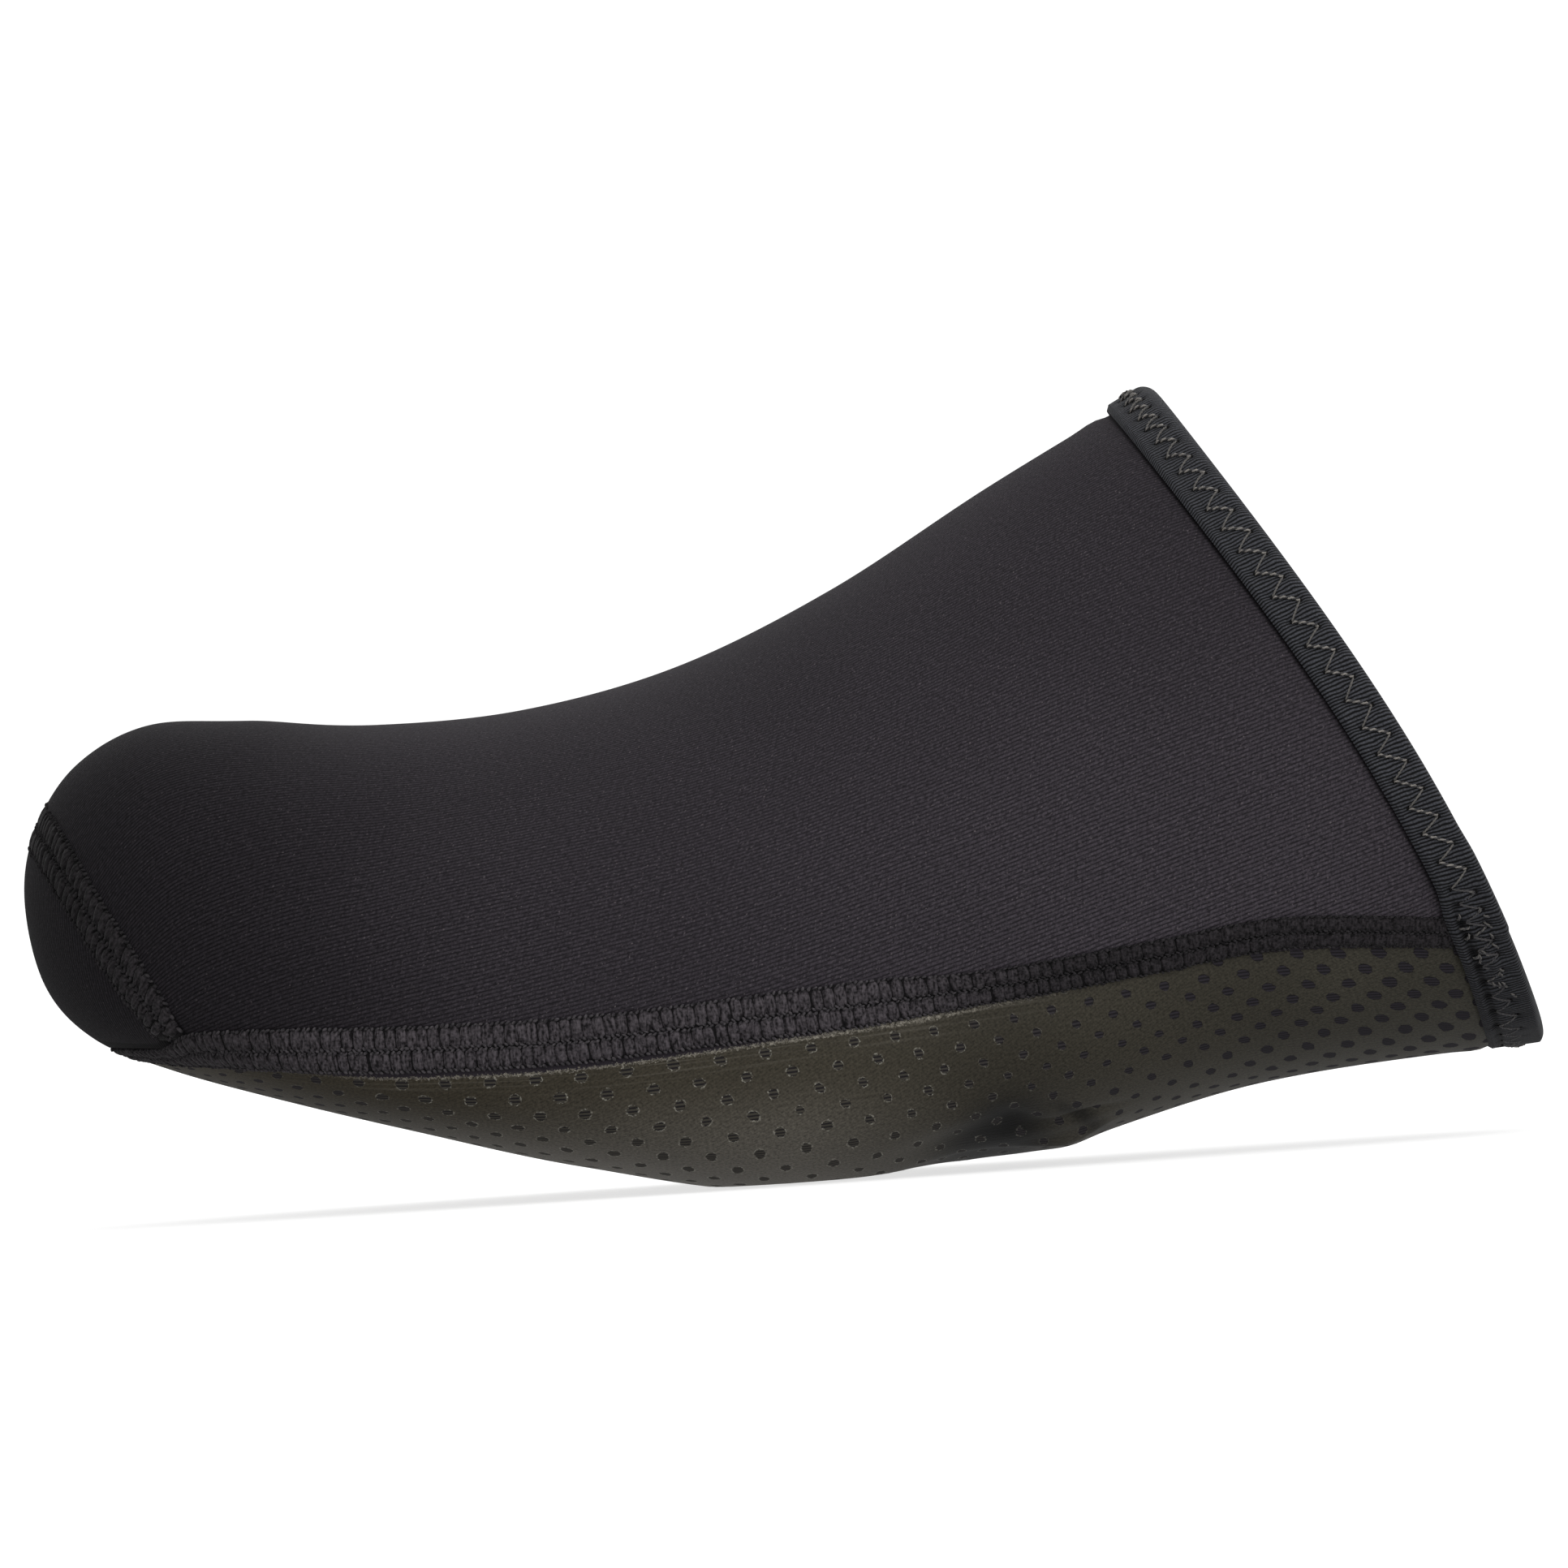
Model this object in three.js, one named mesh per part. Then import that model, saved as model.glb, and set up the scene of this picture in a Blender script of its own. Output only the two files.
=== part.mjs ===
// Cycling toe cover for a left shoe, in millimetres.
// The toe points to -X, +Z is up and the outer side of the foot faces -Y.
// It stands empty on its sole, with the floor at z = 0.
import * as THREE from 'three';

// The last that the cover is stretched over
const coverLength = 178.5;      // toe tip to the low corner of the collar, along the floor
const collarHeight = 91.2;      // high corner of the collar above the floor
const ballWidth = 101;          // widest place, at the ball of the foot
const collarBow = 3.8;          // how far the collar's edge bulges back from a straight line
const bowSag = 0.4;             // how much the bulge leans to the lower half of the edge
const bowOnset = 5;             // the bulge grows with this power of reach

// Fabrics
const upperWall = 2.5;          // neoprene faced with ribbed jersey
const toeWall = 2.5;            // the same neoprene, as a bumper over the toe
const soleWall = 2.0;           // coated knit under the foot
const panelGap = 0.3;           // clearance between neighbouring pieces

// Flatlock seams, which lie on the panels
const seamWidth = 5.2;
const seamRise = 0.7;
const seamEdgeRise = 0.35;      // thickness where the thread meets the fabric
const seamShoulder = 0.72;      // share of the half width where the seam reaches full thickness

// Folded elastic tape around the collar
const bindingWidth = 6.2;
const tapeThickness = 0.6;
const foldRadius = 0.6;

// Toe seam in side view: its top end, its low end and how it curves between them
const toeSeamTop = { along: 0.016, height: 0.53 };
const toeSeamFoot = { along: 0.097, height: 0.226 };
const toeSeamCurve = 1.25;

// Facets
const alongSteps = 26;          // toe seam to collar
const overSteps = 40;           // across the upper, from outer to inner side
const underSteps = 20;          // across the sole
const toeRings = 4;

// Sections of the last from the toe tip to the collar, a row for every tenth of reach.
// Reach is the square root of the distance behind the toe tip, as a share of coverLength.
// topBack: where the section meets the top line, as a share of coverLength behind the tip.
// sole, top, seam: heights above the floor as shares of collarHeight, the last one that of
// the sole seam where it passes over the section's lowest point, seen from the side.
// half, centre, ridge: shares of ballWidth, for half the width and for how far the section
// and its highest point lie towards the inner side of the foot.
// widest: height of the widest place as a share of the section.
// topSquare, soleSquare: how square the upper and lower half are, where 2 is an ellipse.
const sectionColumns = [
  'topBack', 'sole', 'top', 'seam', 'half', 'centre', 'ridge', 'widest', 'topSquare', 'soleSquare',
];
const sections = [
  [0.000, 0.428, 0.428, 0.235, 0.000, 0.050, 0.000, 0.54, 2.00, 2.00],
  [0.010, 0.317, 0.520, 0.235, 0.106, 0.050, 0.000, 0.49, 2.10, 2.20],
  [0.040, 0.245, 0.601, 0.232, 0.208, 0.049, 0.003, 0.41, 2.20, 2.70],
  [0.090, 0.198, 0.647, 0.226, 0.300, 0.046, 0.008, 0.34, 2.28, 3.30],
  [0.157, 0.151, 0.642, 0.216, 0.374, 0.040, 0.016, 0.29, 2.28, 4.00],
  [0.241, 0.097, 0.627, 0.206, 0.434, 0.029, 0.024, 0.28, 2.22, 4.10],
  [0.339, 0.036, 0.633, 0.203, 0.478, 0.014, 0.032, 0.29, 2.14, 4.00],
  [0.443, -0.012, 0.675, 0.217, 0.500, 0.000, 0.038, 0.31, 2.06, 3.90],
  [0.549, 0.007, 0.761, 0.236, 0.486, -0.010, 0.040, 0.34, 2.00, 3.50],
  [0.658, 0.083, 0.880, 0.266, 0.440, -0.014, 0.038, 0.37, 1.95, 3.00],
  [0.772, 0.113, 0.995, 0.243, 0.394, -0.014, 0.034, 0.40, 1.92, 2.50],
].map((row) => Object.fromEntries(sectionColumns.map((name, place) => [name, row[place]])));

const quarterTurn = Math.PI / 2;
const halfTurn = Math.PI;

const between = (from, to, share) => from + (to - from) * share;

// Section rows before the toe tip and behind the collar, so that the curve runs on smoothly
function beyondRows() {
  const second = sections[1];
  const last = sections[sections.length - 1];
  const beforeLast = sections[sections.length - 2];
  const before = { ...second, sole: second.top, top: second.sole, half: -second.half };
  const after = {};
  for (const name of sectionColumns) {
    after[name] = 2 * last[name] - beforeLast[name];
  }
  return [before, ...sections, after];
}

const sectionRows = beyondRows();

// One column of the section table at any reach, as a smooth curve through the rows
function column(name, reach) {
  const place = reach * (sections.length - 1);
  const row = Math.min(Math.max(Math.floor(place), 0), sections.length - 2);
  const t = place - row;
  const [a, b, c, d] = sectionRows.slice(row, row + 4).map((entry) => entry[name]);
  const bend = (2 * a - 5 * b + 4 * c - d) * t * t + (3 * b - 3 * c + d - a) * t * t * t;
  return b + 0.5 * ((c - a) * t + bend);
}

// A point on the outside of the cover. Angle 0 is the outer side of the foot, a quarter turn
// is the top, a half turn the inner side and minus a quarter turn the sole. The sole is
// pressed flat where the table would take it below the floor.
function lastPoint(reach, angle) {
  const lowX = coverLength * reach * reach;
  const lowZ = collarHeight * column('sole', reach);
  const highX = coverLength * column('topBack', reach);
  const highZ = collarHeight * column('top', reach);
  const widest = column('widest', reach);
  const side = Math.cos(angle);
  const rise = Math.sin(angle);
  const square = column(rise > 0 ? 'topSquare' : 'soleSquare', reach);
  const spread = (Math.abs(side) ** square + Math.abs(rise) ** square) ** (-1 / square);
  const share = widest + (rise > 0 ? 1 - widest : widest) * rise * spread;
  const crest = rise > 0 ? ((share - widest) / (1 - widest)) ** 2 : 0;
  const lean = Math.atan2(lowX - highX, Math.max(highZ - lowZ, 1e-6));
  const arch = 4 * share * (1 - share) * (1 + bowSag * (1 - 2 * share));
  const bow = collarBow * reach ** bowOnset * arch;
  const x = between(lowX, highX, share) + bow * Math.cos(lean);
  const y = ballWidth * (column('centre', reach) + crest * column('ridge', reach)
    - column('half', reach) * side * spread);
  const z = between(lowZ, highZ, share) + bow * Math.sin(lean);
  return new THREE.Vector3(x, y, Math.max(z, 0));
}

const nudge = 0.002;

// Change of the point per unit of reach and per radian
function slopes(reach, angle) {
  const ahead = Math.max(reach - nudge, 0);
  const behind = Math.min(reach + nudge, 1);
  const perReach = lastPoint(behind, angle).sub(lastPoint(ahead, angle)).divideScalar(behind - ahead);
  const perAngle = lastPoint(reach, angle + nudge).sub(lastPoint(reach, angle - nudge))
    .divideScalar(2 * nudge);
  return { perReach, perAngle };
}

// Outward direction of the surface
function outward(reach, angle) {
  if (reach < 3 * nudge) {
    const across = lastPoint(nudge, halfTurn).sub(lastPoint(nudge, 0));
    const upwards = lastPoint(nudge, quarterTurn).sub(lastPoint(nudge, -quarterTurn));
    return upwards.cross(across).normalize();
  }
  const { perReach, perAngle } = slopes(reach, angle);
  return perReach.cross(perAngle).normalize();
}

// A point that stands off from the surface, outwards where lift is above zero
function lifted(reach, angle, lift) {
  return lastPoint(reach, angle).addScaledVector(outward(reach, angle), lift);
}

// Where the walk over the surface ends, after a distance in a direction
function walk(start, direction, distance) {
  const steps = 3;
  let { reach, angle } = start;
  for (let step = 0; step < steps; step += 1) {
    const { perReach, perAngle } = slopes(reach, angle);
    const move = direction.clone().multiplyScalar(distance / steps);
    const rr = perReach.dot(perReach);
    const ra = perReach.dot(perAngle);
    const aa = perAngle.dot(perAngle);
    const mr = move.dot(perReach);
    const ma = move.dot(perAngle);
    const scale = rr * aa - ra * ra;
    reach = Math.min(reach + (mr * aa - ma * ra) / scale, 1);
    angle += (ma * rr - mr * ra) / scale;
  }
  return { reach, angle };
}

// The value between low and high where test changes from below zero to above
function crossing(low, high, test) {
  let below = low;
  let above = high;
  for (let step = 0; step < 40; step += 1) {
    const middle = (below + above) / 2;
    if (test(middle) < 0) below = middle;
    else above = middle;
  }
  return (below + above) / 2;
}

// The seams as cuts seen from the side: how far a point lies above the sole seam,
// and how far behind the toe seam
function aboveSoleSeam(point) {
  const reach = Math.sqrt(Math.max(point.x, 0) / coverLength);
  return point.z - collarHeight * column('seam', reach);
}

function behindToeSeam(point) {
  const footZ = collarHeight * toeSeamFoot.height;
  const topZ = collarHeight * toeSeamTop.height;
  const fall = Math.min(Math.max((topZ - point.z) / (topZ - footZ), 0), 1.2);
  const run = toeSeamFoot.along - toeSeamTop.along;
  return point.x - coverLength * (toeSeamTop.along + run * fall ** toeSeamCurve);
}

const seamAngle = (reach) => crossing(-quarterTurn, 0.3 * quarterTurn,
  (angle) => aboveSoleSeam(lastPoint(reach, angle)));

const junctionReach = crossing(0.27, 0.6,
  (reach) => behindToeSeam(lastPoint(reach, seamAngle(reach))));
const junctionAngle = seamAngle(junctionReach);

// Reach where the toe panel ends, in any direction from the toe tip
function toeEdge(angle) {
  return crossing(0.01, 0.6, (reach) => {
    const point = lastPoint(reach, angle);
    return Math.max(behindToeSeam(point), -aboveSoleSeam(point));
  });
}

// Distance over the surface for one unit of reach and for one radian
const reachLength = (reach, angle) => slopes(reach, angle).perReach.length();
const angleLength = (reach, angle) => slopes(reach, angle).perAngle.length();

// Reach where the panels end inside the collar binding
function panelEnd(angle) {
  return 1 - (tapeThickness + panelGap) / reachLength(1, angle);
}

// Half the clearance between two panels, in reach and in angle
const gapInReach = (reach, angle) => panelGap / 2 / reachLength(reach, angle);
const gapInAngle = (reach, angle) => panelGap / 2 / angleLength(reach, angle);

// Reach and angle on the upper: along runs from toe seam to collar, over from side to side
function upperPlace(along, over) {
  const reachAtSide = between(junctionReach, 1, along);
  const edge = seamAngle(reachAtSide);
  const low = edge + gapInAngle(reachAtSide, edge);
  const angle = between(low, halfTurn - low, over);
  const start = toeEdge(between(junctionAngle, halfTurn - junctionAngle, over));
  const from = start + gapInReach(start, angle);
  return { reach: between(from, panelEnd(angle), along), angle };
}

// Reach and angle on the sole: along runs from under the toe to the collar
function solePlace(along, under) {
  const reachAtSide = between(junctionReach, 1, along);
  const edge = seamAngle(reachAtSide);
  const high = edge - gapInAngle(reachAtSide, edge);
  const angle = between(high, -halfTurn - high, under);
  const start = toeEdge(between(junctionAngle, -halfTurn - junctionAngle, under));
  const from = start + gapInReach(start, angle);
  return { reach: between(from, panelEnd(angle), along), angle };
}

// Builds one solid from a list of points and a list of corner numbers of its triangles
function solid(points, corners) {
  const geometry = new THREE.BufferGeometry().setFromPoints(points);
  geometry.setIndex(corners);
  geometry.computeVertexNormals();
  return geometry;
}

// Two triangles over four corners that run round the face
const quad = (a, b, c, d) => [a, b, c, a, c, d];

// A curved panel with its own wall: a grid of outer points and one of inner points
function panelSolid(place, wall, acrossSteps) {
  const points = [];
  for (const lift of [0, -wall]) {
    for (let i = 0; i <= alongSteps; i += 1) {
      for (let j = 0; j <= acrossSteps; j += 1) {
        const { reach, angle } = place(i / alongSteps, j / acrossSteps);
        points.push(lifted(reach, angle, lift));
      }
    }
  }
  const layer = (alongSteps + 1) * (acrossSteps + 1);
  const at = (i, j) => i * (acrossSteps + 1) + j;
  const corners = [];
  for (let i = 0; i < alongSteps; i += 1) {
    for (let j = 0; j < acrossSteps; j += 1) {
      const face = [at(i, j), at(i, j + 1), at(i + 1, j + 1), at(i + 1, j)];
      corners.push(...quad(...face));
      corners.push(...quad(...face.map((corner) => corner + layer).reverse()));
    }
  }
  const rim = [];
  for (let j = 0; j < acrossSteps; j += 1) rim.push(at(0, j));
  for (let i = 0; i < alongSteps; i += 1) rim.push(at(i, acrossSteps));
  for (let j = acrossSteps; j > 0; j -= 1) rim.push(at(alongSteps, j));
  for (let i = alongSteps; i > 0; i -= 1) rim.push(at(i, 0));
  rim.forEach((corner, step) => {
    const next = rim[(step + 1) % rim.length];
    corners.push(...quad(next, corner, corner + layer, next + layer));
  });
  return { points, corners };
}

// Directions all round a section that has the sole seam at the edge angle, spaced as the
// corners of the upper and the sole are
function roundAngles(edge) {
  const angles = [];
  for (let j = 0; j < overSteps; j += 1) {
    angles.push(between(edge, halfTurn - edge, j / overSteps));
  }
  for (let j = underSteps; j > 0; j -= 1) {
    angles.push(between(edge, -halfTurn - edge, j / underSteps));
  }
  return angles;
}

// The toe panel: rings round the toe tip, with one point at the tip outside and inside
function toePanelSolid() {
  const angles = roundAngles(junctionAngle);
  const count = angles.length;
  const points = [];
  for (const lift of [0, -toeWall]) {
    points.push(lifted(0, 0, lift));
    for (let ring = 1; ring <= toeRings; ring += 1) {
      for (const angle of angles) {
        const edge = toeEdge(angle);
        const reach = (edge - gapInReach(edge, angle)) * (ring / toeRings);
        points.push(lifted(reach, angle, lift));
      }
    }
  }
  const layer = 1 + toeRings * count;
  const at = (ring, j) => 1 + (ring - 1) * count + (j % count);
  const corners = [];
  const addBoth = (face) => {
    const inner = face.map((corner) => corner + layer).reverse();
    for (const side of [face, inner]) {
      corners.push(...(side.length === 3 ? side : quad(...side)));
    }
  };
  for (let j = 0; j < count; j += 1) {
    addBoth([0, at(1, j + 1), at(1, j)]);
    for (let ring = 1; ring < toeRings; ring += 1) {
      addBoth([at(ring, j), at(ring, j + 1), at(ring + 1, j + 1), at(ring + 1, j)]);
    }
    const edge = at(toeRings, j);
    const next = at(toeRings, j + 1);
    corners.push(...quad(edge, next, next + layer, edge + layer));
  }
  return { points, corners };
}

// A solid through equal polygons. With an end outline it gets flat ends, without one it is
// a ring that runs back into itself.
function loft(polygons, endOutline) {
  const sides = polygons[0].length;
  const points = polygons.flat();
  const corners = [];
  const spans = endOutline ? polygons.length - 1 : polygons.length;
  for (let i = 0; i < spans; i += 1) {
    const here = i * sides;
    const there = ((i + 1) % polygons.length) * sides;
    for (let j = 0; j < sides; j += 1) {
      const next = (j + 1) % sides;
      corners.push(...quad(here + j, here + next, there + next, there + j));
    }
  }
  if (endOutline) {
    const far = (polygons.length - 1) * sides;
    const flat = endOutline.map(([across, lift]) => new THREE.Vector2(across, lift));
    for (const [a, b, c] of THREE.ShapeUtils.triangulateShape(flat, [])) {
      corners.push(c, b, a, far + a, far + b, far + c);
    }
  }
  return { points, corners };
}

// Section of a flatlock seam: distance across from its middle, height above the fabric
const seamHalf = seamWidth / 2;
const seamOutline = [
  [-seamHalf, panelGap],
  [0, panelGap],
  [seamHalf, panelGap],
  [seamHalf, panelGap + seamEdgeRise],
  [seamHalf * seamShoulder, panelGap + seamRise],
  [0, panelGap + seamRise],
  [-seamHalf * seamShoulder, panelGap + seamRise],
  [-seamHalf, panelGap + seamEdgeRise],
];

// Points of one seam section where the seam's middle passes a place on the surface
function seamPolygon(placeAcross) {
  return seamOutline.map(([across, lift]) => {
    const { reach, angle } = placeAcross(across);
    return lifted(reach, angle, lift);
  });
}

// The sole seam's middle line, from the outer end of the collar round the toe to the inner end.
// rear is 1 at the collar and 0 from the toe seam on.
function soleSeamPath() {
  const path = [];
  const rearReach = 1 - (bindingWidth + panelGap) / reachLength(1, seamAngle(1));
  for (let i = alongSteps; i > 0; i -= 1) {
    const rear = i / alongSteps;
    const reach = between(junctionReach, rearReach, rear);
    path.push({ reach, angle: seamAngle(reach), rear });
  }
  for (let j = 0; j <= underSteps / 2; j += 1) {
    const angle = between(junctionAngle, -halfTurn - junctionAngle, j / underSteps);
    path.push({ reach: toeEdge(angle), angle, rear: 0 });
  }
  const otherSide = path.slice(0, -1).reverse()
    .map(({ reach, angle, rear }) => ({ reach, angle: -halfTurn - angle, rear }));
  return [...path, ...otherSide];
}

// The seam's sections lie square to it, and turn towards the collar to end along the binding
function soleSeamSolid() {
  const path = soleSeamPath();
  const spots = path.map(({ reach, angle }) => lastPoint(reach, angle));
  const polygons = path.map((place, i) => {
    const before = spots[Math.max(i - 1, 0)];
    const after = spots[Math.min(i + 1, spots.length - 1)];
    const ahead = after.clone().sub(before).normalize();
    const square = outward(place.reach, place.angle).cross(ahead).normalize();
    const alongCollar = slopes(place.reach, place.angle).perAngle.normalize();
    if (alongCollar.dot(square) < 0) alongCollar.negate();
    const across = square.clone().lerp(alongCollar, place.rear ** 2).normalize();
    const stretch = 1 / across.dot(square);
    return seamPolygon((distance) => walk(place, across, distance * stretch));
  });
  return loft(polygons, seamOutline);
}

// A place beside the toe seam, at a distance across it
function besideToeSeam(angle, distance) {
  const reach = toeEdge(angle);
  const step = 0.02;
  const ahead = lastPoint(toeEdge(angle + step), angle + step)
    .sub(lastPoint(toeEdge(angle - step), angle - step)).normalize();
  const across = outward(reach, angle).cross(ahead).normalize();
  return walk({ reach, angle }, across, distance);
}

// How far a place lies from the sole seam's middle line, measured over the surface
function soleSeamDistance({ reach, angle }) {
  const height = (r, a) => aboveSoleSeam(lastPoint(r, a));
  const { perReach, perAngle } = slopes(reach, angle);
  const climbReach = (height(reach + nudge, angle) - height(reach - nudge, angle)) / (2 * nudge);
  const climbAngle = (height(reach, angle + nudge) - height(reach, angle - nudge)) / (2 * nudge);
  const rr = perReach.dot(perReach);
  const ra = perReach.dot(perAngle);
  const aa = perAngle.dot(perAngle);
  const steepness = (aa * climbReach ** 2 - 2 * ra * climbReach * climbAngle + rr * climbAngle ** 2)
    / (rr * aa - ra * ra);
  return height(reach, angle) / Math.sqrt(steepness);
}

// The toe seam stops beside the sole seam, with its ends cut along that seam
function toeSeamSolid() {
  const startAngle = (distance) => crossing(junctionAngle, quarterTurn,
    (angle) => soleSeamDistance(besideToeSeam(angle, distance)) - (seamHalf + panelGap));
  const starts = new Map(seamOutline.map(([across]) => [across, startAngle(across)]));
  const polygons = [];
  for (let i = 0; i <= overSteps; i += 1) {
    polygons.push(seamPolygon((across) => {
      const low = starts.get(across);
      return besideToeSeam(between(low, halfTurn - low, i / overSteps), across);
    }));
  }
  return loft(polygons, seamOutline);
}

// The binding's section: distance in from the collar's edge, height above the fabric
function bindingOutline() {
  const over = panelGap + tapeThickness;
  const wall = Math.max(upperWall, soleWall);
  const under = wall + over;
  return [
    [bindingWidth, panelGap],
    [bindingWidth, over],
    [foldRadius, over],
    [0, over - foldRadius],
    [0, foldRadius - under],
    [foldRadius, -under],
    [bindingWidth, -under],
    [bindingWidth, -wall - panelGap],
    [tapeThickness, -wall - panelGap],
    [tapeThickness, panelGap],
  ];
}

function bindingSolid() {
  const outline = bindingOutline();
  const polygons = roundAngles(seamAngle(1)).map((angle) => {
    const unit = reachLength(1, angle);
    return outline.map(([inset, lift]) => lifted(1 - inset / unit, angle, lift));
  });
  return loft(polygons, null);
}

// Six times the volume in a closed set of triangles, above zero when its faces point out
function heldVolume({ points, corners }) {
  let sum = 0;
  for (let i = 0; i < corners.length; i += 3) {
    const [a, b, c] = corners.slice(i, i + 3).map((corner) => points[corner]);
    sum += a.dot(b.clone().cross(c));
  }
  return sum;
}

function facingOut(shape) {
  const corners = [...shape.corners];
  if (heldVolume(shape) < 0) corners.reverse();
  return solid(shape.points, corners);
}

// Finishes
const jersey = new THREE.MeshStandardMaterial({ color: 0x2b292d, roughness: 0.92, metalness: 0 });
const coatedKnit = new THREE.MeshStandardMaterial({ color: 0x3a372f, roughness: 0.62, metalness: 0 });
const elasticTape = new THREE.MeshStandardMaterial({ color: 0x26282a, roughness: 0.85, metalness: 0 });
const seamThread = new THREE.MeshStandardMaterial({ color: 0x343035, roughness: 0.8, metalness: 0 });

function piece(name, shape, material) {
  const mesh = new THREE.Mesh(facingOut(shape), material);
  mesh.name = name;
  return mesh;
}

const toeCover = new THREE.Group();
toeCover.name = 'cycling_toe_cover';
toeCover.add(piece('upper', panelSolid(upperPlace, upperWall, overSteps), jersey));
toeCover.add(piece('toe_panel', toePanelSolid(), jersey));
toeCover.add(piece('sole', panelSolid(solePlace, soleWall, underSteps), coatedKnit));
toeCover.add(piece('collar_binding', bindingSolid(), elasticTape));
toeCover.add(piece('sole_seam', soleSeamSolid(), seamThread));
toeCover.add(piece('toe_seam', toeSeamSolid(), seamThread));

// The origin is on the floor, under the middle of the cover
const middle = new THREE.Box3().setFromObject(toeCover).getCenter(new THREE.Vector3());
toeCover.position.set(-middle.x, -middle.y, 0);

export default toeCover;
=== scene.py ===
import math
import bpy
import numpy as np
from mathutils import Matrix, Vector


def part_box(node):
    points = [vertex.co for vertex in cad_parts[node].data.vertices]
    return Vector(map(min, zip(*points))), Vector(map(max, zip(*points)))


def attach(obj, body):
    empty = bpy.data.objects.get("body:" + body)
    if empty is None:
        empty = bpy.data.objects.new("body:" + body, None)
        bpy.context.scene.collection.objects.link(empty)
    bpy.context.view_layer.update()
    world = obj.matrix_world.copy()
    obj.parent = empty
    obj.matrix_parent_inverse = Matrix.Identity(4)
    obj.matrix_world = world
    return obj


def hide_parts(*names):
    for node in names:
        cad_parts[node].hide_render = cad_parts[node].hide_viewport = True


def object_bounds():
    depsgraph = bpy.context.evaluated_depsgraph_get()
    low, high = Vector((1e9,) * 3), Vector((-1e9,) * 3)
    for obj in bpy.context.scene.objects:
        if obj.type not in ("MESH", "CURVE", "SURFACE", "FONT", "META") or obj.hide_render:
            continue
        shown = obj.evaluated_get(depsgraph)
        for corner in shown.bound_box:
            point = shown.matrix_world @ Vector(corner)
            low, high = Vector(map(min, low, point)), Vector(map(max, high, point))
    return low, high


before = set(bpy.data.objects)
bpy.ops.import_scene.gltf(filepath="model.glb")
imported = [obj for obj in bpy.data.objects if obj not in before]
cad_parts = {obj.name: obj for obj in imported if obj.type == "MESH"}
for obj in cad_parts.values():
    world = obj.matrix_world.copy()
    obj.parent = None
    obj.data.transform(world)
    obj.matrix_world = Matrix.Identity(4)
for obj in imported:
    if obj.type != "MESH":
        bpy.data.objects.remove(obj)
cadLow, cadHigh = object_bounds()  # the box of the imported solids, in metres
bpy.ops.object.select_all(action="DESELECT")
print("frame loaded")

# Cycling toe cover for a left shoe. Lengths are in millimetres until a mesh is written.
# The toe points to -X, the outer side of the foot faces -Y and the floor is at z = 0.
metre = 0.001
quarterTurn = math.pi / 2
halfTurn = math.pi
random = np.random.default_rng(11)  # the same draws in each run

# The last that the cover is stretched over, as in the solids
last = {
    "coverLength": 178.5,
    "collarHeight": 91.2,
    "ballWidth": 101,
    "collarBow": 3.8,
    "bowSag": 0.4,
    "bowOnset": 5,
    "seamTopAlong": 0.016,  # toe seam in side view, as shares of length and height
    "seamTopHeight": 0.53,
    "seamFootAlong": 0.097,
    "seamFootHeight": 0.226,
    "seamCurve": 1.25,
}
sectionNames = ("topBack", "sole", "top", "seam", "half", "centre", "ridge", "widest",
                "topSquare", "soleSquare")
sections = np.array([  # a row for every tenth of reach, the root of the distance behind the toe
    [0.000, 0.428, 0.428, 0.235, 0.000, 0.050, 0.000, 0.54, 2.00, 2.00],
    [0.010, 0.317, 0.520, 0.235, 0.106, 0.050, 0.000, 0.49, 2.10, 2.20],
    [0.040, 0.245, 0.601, 0.232, 0.208, 0.049, 0.003, 0.41, 2.20, 2.70],
    [0.090, 0.198, 0.647, 0.226, 0.300, 0.046, 0.008, 0.34, 2.28, 3.30],
    [0.157, 0.151, 0.642, 0.216, 0.374, 0.040, 0.016, 0.29, 2.28, 4.00],
    [0.241, 0.097, 0.627, 0.206, 0.434, 0.029, 0.024, 0.28, 2.22, 4.10],
    [0.339, 0.036, 0.633, 0.203, 0.478, 0.014, 0.032, 0.29, 2.14, 4.00],
    [0.443, -0.012, 0.675, 0.217, 0.500, 0.000, 0.038, 0.31, 2.06, 3.90],
    [0.549, 0.007, 0.761, 0.236, 0.486, -0.010, 0.040, 0.34, 2.00, 3.50],
    [0.658, 0.083, 0.880, 0.266, 0.440, -0.014, 0.038, 0.37, 1.95, 3.00],
    [0.772, 0.113, 0.995, 0.243, 0.394, -0.014, 0.034, 0.40, 1.92, 2.50],
])

# Walls of the panels, the gap between two of them under a seam, and how round a cut edge is
walls = {"upper": 2.5, "toe": 2.5, "sole": 2.0, "gap": 0.3, "rounding": 0.3}

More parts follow.
